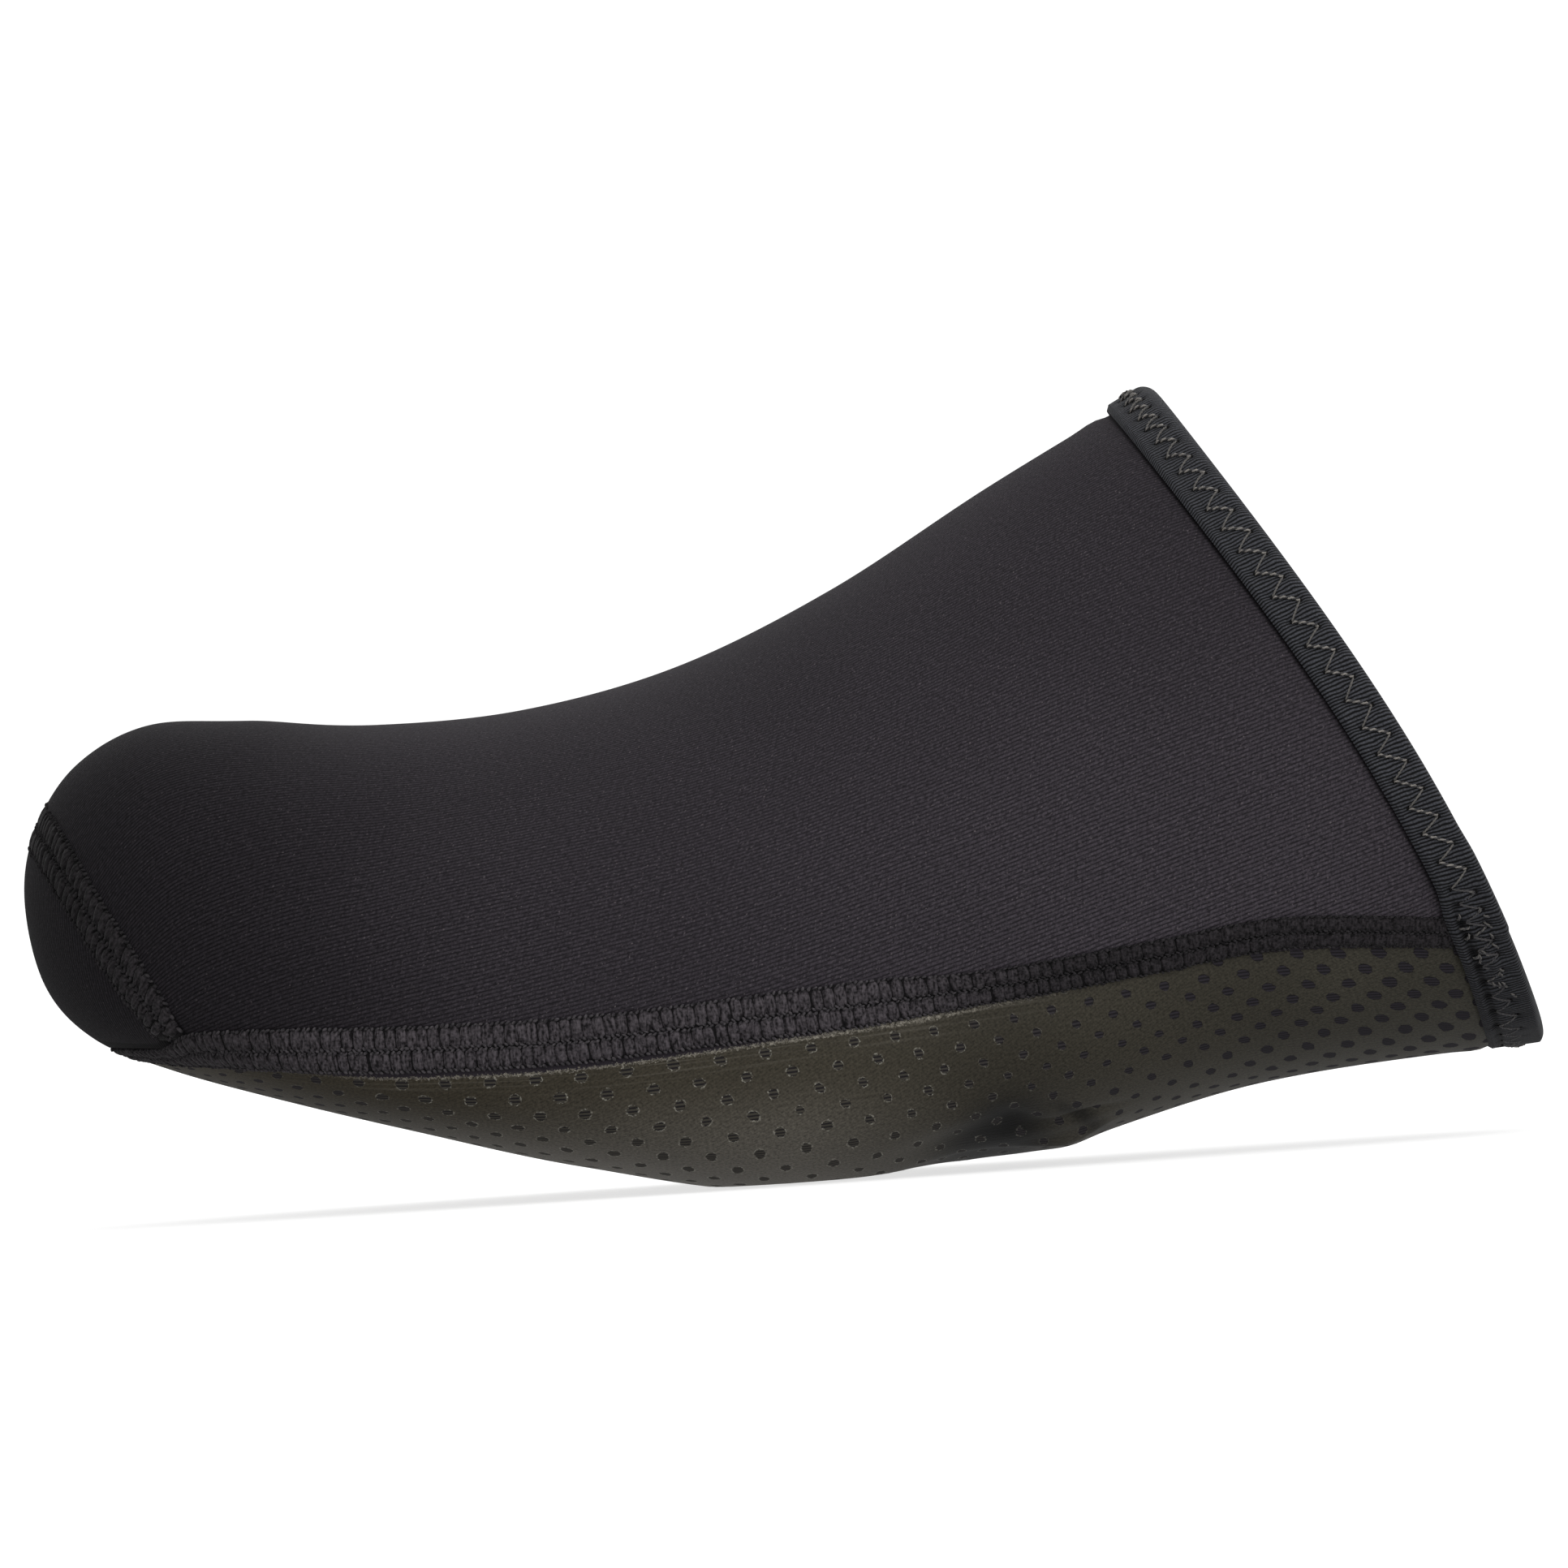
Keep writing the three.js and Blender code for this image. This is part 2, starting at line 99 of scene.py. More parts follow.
# Creases and hollows. side is -1 on the outer side of the foot and 1 on the inner. x and z are
# a place in side view, behind the toe tip and above the floor. slant turns the crease's long
# way in side view, in degrees. wide has the half width above and below that line. rise is the
# height of the ridge, below zero for a trough.
creaseNames = ("side", "x", "z", "slant", "long", "wide", "rise")
creases = [dict(zip(creaseNames, values)) for values in (
    (-1, 112.0, 4.2, 36, 9.0, (5.0, 5.0), -1.0),
    (-1, 117.0, 5.0, -62, 5.0, (1.2, 3.2), -0.8),
    (-1, 122.8, 5.4, -27, 4.6, (1.5, 1.3), -1.0),
    (-1, 121.0, 3.4, -22, 4.6, (1.5, 2.6), 1.0),
    (-1, 110.5, 1.0, 8, 6.5, (2.5, 6.0), -0.4),
    (-1, 27.0, 57.0, 84, 14.0, (5.0, 5.0), 0.45),
    (-1, 44.0, 44.0, 70, 16.0, (7.0, 7.0), -0.5),
    (-1, 60.0, 38.0, 24, 22.0, (7.0, 8.0), 0.45),
    (-1, 85.0, 48.0, 35, 20.0, (7.0, 7.0), -0.4),
    (-1, 118.0, 40.0, 58, 18.0, (8.0, 8.0), -0.35),
    (1, 56.0, 36.0, 38, 18.0, (6.0, 7.0), -0.6),
    (1, 92.0, 46.0, 30, 20.0, (7.0, 7.0), -0.5),
    (1, 118.0, 6.0, -35, 6.0, (2.0, 3.0), -1.5),
)]
creaseDepth = 14  # how far through the foot a crease acts, so that it stays on its own side
# Where the whole underside arches or hangs, from side to side
underBends = [
    {"x": 108.6, "long": 8.0, "rise": -1.0},
    {"x": 121.8, "long": 3.0, "rise": 0.45},
]
underHeights = (6, 1)  # the bends set in between these heights above the floor


def between(low, high, share):
    return low + (high - low) * share


def unit(vectors):
    return vectors / np.maximum(np.linalg.norm(vectors, axis=-1, keepdims=True), 1e-9)


def smooth(low, high, values):
    share = np.clip((values - low) / (high - low), 0, 1)
    return share * share * (3 - 2 * share)


def sameShape(reach, angle):
    return np.broadcast_arrays(np.asarray(reach, float), np.asarray(angle, float))


# Distance behind the toe tip, at the bottom of the section
def behindTip(reach):
    return last["coverLength"] * reach ** 2


# The section table with one more row at each end, so that its curve is smooth there too
def beyondRows():
    before = sections[1].copy()
    foot, top, half = (sectionNames.index(name) for name in ("sole", "top", "half"))
    before[[foot, top]] = sections[1][[top, foot]]
    before[half] = -sections[1][half]
    return np.vstack([before, sections, 2 * sections[-1] - sections[-2]])


sectionRows = beyondRows()


# One column of the section table at any reach, as a smooth curve through the rows
def column(name, reach):
    place = reach * (len(sections) - 1)
    row = np.clip(np.floor(place).astype(int), 0, len(sections) - 2)
    t = place - row
    a, b, c, d = (sectionRows[row + step, sectionNames.index(name)] for step in range(4))
    bend = (2 * a - 5 * b + 4 * c - d) * t ** 2 + (3 * b - 3 * c + d - a) * t ** 3
    return b + 0.5 * ((c - a) * t + bend)


# Points on the outside of the last. Angle 0 is the outer side of the foot, a quarter turn is
# the top, a half turn the inner side and minus a quarter turn the sole.
def lastPoint(reach, angle):
    reach, angle = sameShape(reach, angle)
    lowX = behindTip(reach)
    lowZ = last["collarHeight"] * column("sole", reach)
    highX = last["coverLength"] * column("topBack", reach)
    highZ = last["collarHeight"] * column("top", reach)
    widest = column("widest", reach)
    side = np.cos(angle)
    rise = np.sin(angle)
    square = np.where(rise > 0, column("topSquare", reach), column("soleSquare", reach))
    spread = (np.abs(side) ** square + np.abs(rise) ** square) ** (-1 / square)
    share = widest + np.where(rise > 0, 1 - widest, widest) * rise * spread
    crest = np.where(rise > 0, ((share - widest) / (1 - widest)) ** 2, 0)
    lean = np.arctan2(lowX - highX, np.maximum(highZ - lowZ, 1e-6))
    arch = 4 * share * (1 - share) * (1 + last["bowSag"] * (1 - 2 * share))
    bow = last["collarBow"] * np.maximum(reach, 0) ** last["bowOnset"] * arch
    x = between(lowX, highX, share) + bow * np.cos(lean)
    y = last["ballWidth"] * (column("centre", reach) + crest * column("ridge", reach)
                             - column("half", reach) * side * spread)
    z = between(lowZ, highZ, share) + bow * np.sin(lean)
    return np.stack([x, y, np.maximum(z, 0)], axis=-1)


nudge = 0.002  # a small step, of reach and of angle in radians


# Change of the point per unit of reach and per radian
def slopes(reach, angle):
    ahead = np.maximum(reach - nudge, 0)
    behind = np.minimum(reach + nudge, 1)
    perReach = (lastPoint(behind, angle) - lastPoint(ahead, angle)) / (behind - ahead)[..., None]
    perAngle = (lastPoint(reach, angle + nudge) - lastPoint(reach, angle - nudge)) / (2 * nudge)
    return perReach, perAngle


def outward(reach, angle):
    reach, angle = sameShape(reach, angle)
    perReach, perAngle = slopes(np.maximum(reach, 3 * nudge), angle)
    return unit(np.cross(perReach, perAngle))


def reachLength(reach, angle):
    reach, angle = sameShape(reach, angle)
    return np.linalg.norm(slopes(reach, angle)[0], axis=-1)


def angleLength(reach, angle):
    reach, angle = sameShape(reach, angle)
    return np.linalg.norm(slopes(reach, angle)[1], axis=-1)


# The crease's middle and its own axes on the last, found from its place in side view
def creaseFrames():
    frames = []
    reach = np.linspace(0.1, 1, 181)[:, None]
    for crease in creases:
        start = -quarterTurn if crease["side"] < 0 else quarterTurn
        angle = np.linspace(start, start + halfTurn, 181)[None, :]
        points = lastPoint(reach, angle)
        miss = (points[..., 0] - crease["x"]) ** 2 + (points[..., 2] - crease["z"]) ** 2
        i, j = np.unravel_index(np.argmin(miss), miss.shape)
        normal = outward(reach[i, 0], angle[0, j])
        slant = math.radians(crease["slant"])
        inPlane = np.array([math.cos(slant), 0, math.sin(slant)])
        longWay = unit(inPlane - normal * (inPlane @ normal))
        upWay = np.cross(longWay, normal)
        if upWay[2] < 0:
            upWay = -upWay
        frames.append((crease, points[i, j], longWay, upWay, normal))
    return frames


creasePlaces = creaseFrames()


# How far the creases raise the cloth at some points of the last
def creaseRise(points):
    total = np.zeros(points.shape[:-1])
    for crease, middle, longWay, upWay, normal in creasePlaces:
        away = points - middle
        upwards = away @ upWay
        above, below = crease["wide"]
        wide = np.where(upwards > 0, above, below)
        spread = (away @ longWay / crease["long"]) ** 2 + (upwards / wide) ** 2
        total += crease["rise"] * np.exp(-spread - (away @ normal / creaseDepth) ** 2)
    underneath = smooth(*underHeights, points[..., 2])
    for bend in underBends:
        along = (points[..., 0] - bend["x"]) / bend["long"]
        total += bend["rise"] * underneath * np.exp(-along ** 2)
    return total


# Points that stand off from the creased surface, outwards where lift is above zero
def lifted(reach, angle, lift):
    points = lastPoint(reach, angle)
    height = np.asarray(lift) + creaseRise(points)
    points = points + outward(reach, angle) * height[..., None]
    points[..., 2] = np.maximum(points[..., 2], 0)
    return points


# Where a walk over the surface ends, after a distance in a direction
def walk(reach, angle, direction, distance):
    steps = 16  # small ones, because the surface is stretched unevenly where two curves meet
    for step in range(steps):
        perReach, perAngle = slopes(reach, angle)
        move = direction * (distance / steps)[..., None]
        reachSquare = np.sum(perReach * perReach, axis=-1)
        angleSquare = np.sum(perAngle * perAngle, axis=-1)
        shared = np.sum(perReach * perAngle, axis=-1)
        onReach = np.sum(move * perReach, axis=-1)
        onAngle = np.sum(move * perAngle, axis=-1)
        scale = reachSquare * angleSquare - shared * shared
        reach = np.minimum(reach + (onReach * angleSquare - onAngle * shared) / scale, 1)
        angle = angle + (onAngle * reachSquare - onReach * shared) / scale
    return reach, angle


# The values between low and high where test changes from below zero to above
def crossing(low, high, shape, test):
    below = np.full(shape, float(low))
    above = np.full(shape, float(high))
    for step in range(34):
        middle = (below + above) / 2
        under = test(middle) < 0
        below = np.where(under, middle, below)
        above = np.where(under, above, middle)
    return (below + above) / 2


def aboveSoleSeam(points):
    reach = np.sqrt(np.maximum(points[..., 0], 0) / last["coverLength"])
    return points[..., 2] - last["collarHeight"] * column("seam", reach)


def behindToeSeam(points):
    footZ = last["collarHeight"] * last["seamFootHeight"]
    topZ = last["collarHeight"] * last["seamTopHeight"]
    fall = np.clip((topZ - points[..., 2]) / (topZ - footZ), 0, 1.2)
    along = between(last["seamTopAlong"], last["seamFootAlong"], fall ** last["seamCurve"])
    return points[..., 0] - last["coverLength"] * along


seamReaches = np.linspace(0.2, 1, 321)
seamAngles = crossing(-quarterTurn, 0.3 * quarterTurn, seamReaches.shape,
                      lambda angle: aboveSoleSeam(lastPoint(seamReaches, angle)))


def seamAngle(reach):
    return np.interp(reach, seamReaches, seamAngles)


def alongSoleSeam(reach):
    return behindToeSeam(lastPoint(reach, seamAngle(reach)))


# Where the toe seam meets the sole seam
junctionReach = float(crossing(0.27, 0.6, (), alongSoleSeam))
junctionAngle = float(seamAngle(junctionReach))


# Reach where the toe panel ends, in any direction from the toe tip
def toeEdge(angle):
    def beyond(reach):
        points = lastPoint(reach, angle)
        return np.maximum(behindToeSeam(points), -aboveSoleSeam(points))
    return crossing(0.01, 0.6, np.shape(angle), beyond)


tape = {
    "width": 6.2,
    "thickness": 0.6,
    "lift": 0.9,  # outside of the tape above the upper
    "inside": -3.4,  # the same inside the collar
    "foldHeights": (8, 22, 60, 90),  # the fold is sharper low down
    "foldDepths": (0.6, 0.9, 1.7, 2.0),
    "ridgeHeights": (26, 31),  # below these the inner edge has a narrow ridge
    "ridgeWide": 0.7,
    "ridgeFrom": 4.9,
    "ribPitch": 0.44,  # really 0.35, drawn coarser so that the ribs are seen
    "flattened": 0.72,  # how much less it stands up under the shoe
    "flatHeights": (14, 11),  # it goes flat between these heights of the collar's edge
    "rounding": 0.18,
    "seamClimb": 0.35,  # how much higher it lies over an end of the sole seam
}


def panelEnd(angle):
    return 1 - (tape["thickness"] + walls["gap"]) / reachLength(1, angle)


# Reach and angle on a panel: along runs from toe seam to collar, across from the outer side to
# the inner. way is 1 for the upper, over the top of the foot, and -1 for the sole, under it.
def panelPlace(along, across, way):
    reachAtSide = between(junctionReach, 1, along)
    edge = seamAngle(reachAtSide)
    edge = edge + way * walls["gap"] / 2 / angleLength(reachAtSide, edge)
    angle = between(edge, way * halfTurn - edge, across)
    start = toeEdge(between(junctionAngle, way * halfTurn - junctionAngle, across))
    start = start + walls["gap"] / 2 / reachLength(start, angle)
    return between(start, panelEnd(angle), along), angle


# Distances over the last: round the section from its top, and along it from the toe tip
tableReach = np.linspace(0, 1, 241)
tableAngle = np.linspace(-halfTurn - 0.7, halfTurn + 0.7, 481)
tablePoints = lastPoint(tableReach[:, None], tableAngle[None, :])
stepsRound = np.linalg.norm(np.diff(tablePoints, axis=1), axis=-1)
stepsAlong = np.linalg.norm(np.diff(tablePoints, axis=0), axis=-1)
roundTable = np.pad(np.cumsum(stepsRound, axis=1), ((0, 0), (1, 0)))
alongTable = np.pad(np.cumsum(stepsAlong, axis=0), ((1, 0), (0, 0)))


# The value at a place between the rows and columns of a grid
def gridValue(values, i, j):
    i = np.clip(i, 0, values.shape[0] - 1.001)
    j = np.clip(j, 0, values.shape[1] - 1.001)
    row, side = i.astype(int), j.astype(int)
    down, right = i - row, j - side
    if values.ndim == 3:
        down, right = down[:, None], right[:, None]
    first = between(values[row, side], values[row, side + 1], right)
    second = between(values[row + 1, side], values[row + 1, side + 1], right)
    return between(first, second, down)


def lookUp(table, reach, angle):
    angleStep = tableAngle[1] - tableAngle[0]
    return gridValue(table, reach / tableReach[1], (angle - tableAngle[0]) / angleStep)


def fromTop(reach, angle):
    top = np.full_like(angle, quarterTurn)
    return lookUp(roundTable, reach, top) - lookUp(roundTable, reach, angle)


# The row's frame has its origin under the middle of the cover, so the last is moved there
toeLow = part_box("toe_panel")[0]
upperLow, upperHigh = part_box("upper")
widthMiddle = (tablePoints[..., 1].min() + tablePoints[..., 1].max()) / 2
rowShift = np.array([
    toeLow.x / metre - tablePoints[..., 0].min(),
    (upperLow.y + upperHigh.y) / 2 / metre - widthMiddle,
    0,
])


def toRow(points):
    return (points + rowShift) * metre


def writePlaces(mesh, points):
    mesh.vertices.foreach_set("co", toRow(points).astype(np.float32).ravel())
    mesh.update()


# UV coordinates in millimetres over the cloth, given for each corner of the mesh
def writeCloth(mesh, coordinates):
    corners = np.empty(len(mesh.loops), int)
    mesh.loops.foreach_get("vertex_index", corners)
    layer = mesh.uv_layers.active or mesh.uv_layers.new(name="cloth")
    layer.name = "cloth"
    layer.data.foreach_set("uv", coordinates[corners].astype(np.float32).ravel())


def writeAttribute(mesh, name, values):
    attribute = mesh.attributes.new(name, "FLOAT", "POINT")
    attribute.data.foreach_set("value", values.astype(np.float32).ravel())


# A grid primitive, with the shares of its two ways at each corner
def addGrid(name, columns, rows):
    bpy.ops.object.select_all(action="DESELECT")
    bpy.ops.mesh.primitive_grid_add(x_subdivisions=columns, y_subdivisions=rows, size=2)
    piece = bpy.context.object
    piece.name = name
    places = np.empty(len(piece.data.vertices) * 3)
    piece.data.vertices.foreach_get("co", places)
    places = places.reshape(-1, 3)
    return piece, (places[:, 0] + 1) / 2, (places[:, 1] + 1) / 2


def applyModifier(piece, kind, **settings):
    modifier = piece.modifiers.new(kind.lower(), kind)
    for name, value in settings.items():
        setattr(modifier, name, value)
    bpy.context.view_layer.objects.active = piece
    bpy.ops.object.modifier_apply(modifier=modifier.name)


# Gives a sheet its wall and its finishes outside and inside, and rounds the cut edges
def giveWall(piece, wall, rounding, outside, inside):
    for finish in (outside, inside):
        piece.data.materials.append(finishes[finish])
    applyModifier(piece, "SOLIDIFY", thickness=wall * metre, offset=-1, material_offset=1,
                  material_offset_rim=1)
    if rounding:
        applyModifier(piece, "BEVEL", width=rounding * metre, segments=2, limit_method="ANGLE",
                      angle_limit=math.radians(60))
    piece.data.polygons.foreach_set("use_smooth", [True] * len(piece.data.polygons))


def mergeDoubles(piece, distance):
    bpy.context.view_layer.objects.active = piece
    bpy.ops.object.mode_set(mode="EDIT")
    bpy.ops.mesh.select_all(action="SELECT")
    bpy.ops.mesh.remove_doubles(threshold=distance)
    bpy.ops.object.mode_set(mode="OBJECT")


# The piece rides on the cover and stands for a solid, which is hidden
def belongs(piece, node=None):
    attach(piece, "root")
    if node:
        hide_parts(node)
    piece.select_set(False)


# sRGB hex to linear colour
def colour(hexCode):
    parts = [int(hexCode[place:place + 2], 16) / 255 for place in (1, 3, 5)]
    return (*(c / 12.92 if c <= 0.04045 else ((c + 0.055) / 1.055) ** 2.4 for c in parts), 1)


# Adds a shader node with its settings. inputs holds values, hex colours, and sockets or nodes
# to link from.
def addNode(tree, kind, inputs=None, **settings):
    node = tree.nodes.new("ShaderNode" + kind)
    for name, value in settings.items():
        setattr(node, name, value)
    for socket, value in (inputs or {}).items():
        if isinstance(value, str):
            value = colour(value)
        if isinstance(value, bpy.types.Node):
            value = value.outputs[0]
        if isinstance(value, bpy.types.NodeSocket):
            tree.links.new(value, node.inputs[socket])
        else:
            node.inputs[socket].default_value = value
    return node


def newMaterial(name, **sockets):
    material = bpy.data.materials.new(name)
    material.use_nodes = True
    tree = material.node_tree
    shader = tree.nodes["Principled BSDF"]
    for socket, value in sockets.items():
        shader.inputs[socket.replace("_", " ")].default_value = value
    return material, tree, shader


jersey = {
    "ribPitch": 0.48,  # fine warp-knit ribs
    "stitchPitch": 0.36,
    "groove": "#09080a",
    "openGroove": "#222023",
    "toe": "#1f1d20",
    "collar": "#383439",
    "lightens": (-0.095, -0.01),  # metres along the cover, from the toe's tone to the collar's
    "rearPaintedLight": 0.22,
    "fleck": "#6a6366",
    "ribHeight": 0.035,
    "fuzzHeight": 0.07,
}


# Warp-knit polyester jersey glued on neoprene: matt, with fine ribs and a short fuzz that
# catches a little light along the edges
def ribbedJersey(name):
    material, tree, shader = newMaterial(
        name, Roughness=0.9, IOR=1.5, Specular_IOR_Level=0.04,
        Sheen_Weight=0.03, Sheen_Roughness=0.5)
    cloth = addNode(tree, "UVMap", uv_map="cloth")
    place = addNode(tree, "TexCoord")
    parts = addNode(tree, "SeparateXYZ", {0: cloth})
    waver = addNode(tree, "TexNoise", {"Vector": cloth, "Scale": 0.45, "Detail": 2.0})
    turns = addNode(tree, "Math", {0: parts.outputs[1], 1: 2 * math.pi / jersey["ribPitch"]},
                    operation="MULTIPLY")
    turned = addNode(tree, "Math", {0: waver.outputs[0], 1: 2.4, 2: turns}, operation="MULTIPLY_ADD")
    wave = addNode(tree, "Math", {0: turned}, operation="SINE")
    # The ribs fade in places, where the fuzz lies over them
    patch = addNode(tree, "TexNoise", {"Vector": cloth, "Scale": 1.3, "Detail": 3.0, "Roughness": 0.7})
    clear = addNode(tree, "MapRange", {0: patch, 1: 0.3, 2: 0.65, 3: 0.25, 4: 1.0})
    faded = addNode(tree, "Math", {0: clear, 1: wave}, operation="MULTIPLY")
    rib = addNode(tree, "MapRange", {0: faded, 1: -1.0, 2: 0.35}, interpolation_type="SMOOTHSTEP")
    stitchTurns = addNode(tree, "Math", {0: parts.outputs[0], 1: 2 * math.pi / jersey["stitchPitch"],
                                         2: wave}, operation="MULTIPLY_ADD")
    stitch = addNode(tree, "Math", {0: stitchTurns}, operation="SINE")
    fuzz = addNode(tree, "TexNoise", {"Vector": cloth, "Scale": 2.2, "Detail": 3.0, "Roughness": 0.8})
    fine = addNode(tree, "TexNoise", {"Vector": cloth, "Scale": 3.4, "Detail": 1.0})
    wide = addNode(tree, "TexNoise", {"Vector": place.outputs[3], "Scale": 22.0, "Detail": 2.0})
    # Lighter towards the collar, where the cloth is stretched open, and darker towards the toe,
    # which is painted shade because the toe side gets less light
    where = addNode(tree, "SeparateXYZ", {0: place.outputs[3]})
    lightStart, lightEnd = jersey["lightens"]
    stretchedAndLit = addNode(tree, "MapRange", {0: where, 1: lightStart, 2: lightEnd},
                        interpolation_type="SMOOTHSTEP")
    tone = addNode(tree, "Mix", {0: stretchedAndLit, 6: jersey["toe"], 7: jersey["collar"]}, data_type="RGBA")
    mottle = addNode(tree, "MapRange", {0: wide, 1: 0.3, 2: 0.7, 3: 0.86, 4: 1.14})
    # Painted light: lightest low down at the back, towards the collar
    rear = addNode(tree, "MapRange", {0: where, 1: 0.0, 2: 0.05, 3: 0.0, 4: jersey["rearPaintedLight"]})
    lowDown = addNode(tree, "MapRange", {0: where.outputs[2], 1: 0.075, 2: 0.045})
    rearShade = addNode(tree, "Math", {0: rear, 1: lowDown, 2: mottle}, operation="MULTIPLY_ADD")
    grain = addNode(tree, "MapRange", {0: fuzz, 1: 0.3, 2: 0.7, 3: 0.38, 4: 1.64})
    shade = addNode(tree, "Math", {0: rearShade, 1: grain}, operation="MULTIPLY")
    stitchShade = addNode(tree, "Math", {0: stitch, 1: 0.07, 2: 1.0}, operation="MULTIPLY_ADD")
    shaded = addNode(tree, "Math", {0: shade, 1: stitchShade}, operation="MULTIPLY")
    crest = addNode(tree, "VectorMath", {0: tone.outputs[2], 3: shaded}, operation="SCALE")
    grooveTone = addNode(tree, "Mix", {0: stretchedAndLit, 6: jersey["groove"],
                                       7: jersey["openGroove"]}, data_type="RGBA")
    ribbed = addNode(tree, "Mix", {0: rib, 6: grooveTone.outputs[2], 7: crest}, data_type="RGBA")
    fleck = addNode(tree, "MapRange", {0: fine, 1: 0.66, 2: 0.78, 3: 0.0, 4: 0.75})
    fleckHere = addNode(tree, "MapRange", {0: stretchedAndLit, 3: 0.3, 4: 1.0})
    flecked = addNode(tree, "Math", {0: fleck, 1: fleckHere}, operation="MULTIPLY")
    final = addNode(tree, "Mix", {0: flecked, 6: ribbed.outputs[2], 7: jersey["fleck"]},
                    data_type="RGBA")
    # Painted shade: a dark groove where the cloth goes under a seam or the tape
    fromTrim = addNode(tree, "Attribute", attribute_name="fromTrim").outputs[2]
    groove = addNode(tree, "MapRange", {0: fromTrim, 1: -0.1, 2: 0.5, 3: 0.3, 4: 1.0},
                     interpolation_type="SMOOTHSTEP")
    trimShaded = addNode(tree, "VectorMath", {0: final.outputs[2], 3: groove}, operation="SCALE")
    tree.links.new(trimShaded.outputs[0], shader.inputs["Base Color"])
    ribBump = addNode(tree, "Bump", {"Height": rib, "Distance": jersey["ribHeight"] * metre})
    fuzzBump = addNode(tree, "Bump", {"Height": fuzz, "Distance": jersey["fuzzHeight"] * metre,
                                      "Normal": ribBump})
    tree.links.new(fuzzBump.outputs[0], shader.inputs["Normal"])
    return material


# Brushed lining of the neoprene: near black and soft, without ribs
def brushedLining():
    material, tree, shader = newMaterial("brushedLining", Roughness=0.95, Specular_IOR_Level=0.2,
                                         Sheen_Weight=0.1, Sheen_Roughness=0.5)
    place = addNode(tree, "TexCoord")
    pile = addNode(tree, "TexNoise", {"Vector": place.outputs[3], "Scale": 1600.0, "Detail": 3.0})
    tone = addNode(tree, "Mix", {0: pile, 6: "#232226", 7: "#47444b"}, data_type="RGBA")
    tree.links.new(tone.outputs[2], shader.inputs["Base Color"])
    bump = addNode(tree, "Bump", {"Height": pile, "Distance": 0.12 * metre})
    tree.links.new(bump.outputs[0], shader.inputs["Normal"])
    return material


coating = {
    "dotPitch": 5.4,  # along the seam; each row is staggered by half of it
    "rowPitch": 2.55,
    "firstDot": (0.35, -0.25),
    "left": "#3a3429",  # the film towards the toe and towards the collar, and painted light low down under the belly
    "right": "#3b3932",
    "bellyLight": "#6b6760",
    "bare": "#2e2a2f",  # the knit beside the seam, where the film stops
    "knit": "#1b191d",
    "knitLight": "#302d34",
    "knitWorn": "#45423b",  # the knit's light courses where the rim is frayed
    "coursePitch": 0.46,  # of the knit inside the dots
    "rim": "#97948a",
    # Painted highlight on the film's cut edge, where it curls up
    "edgeHighlight": "#a8a296",
    "hollowShadow": "#0a0a0a",
    "thickness": 0.12,
}
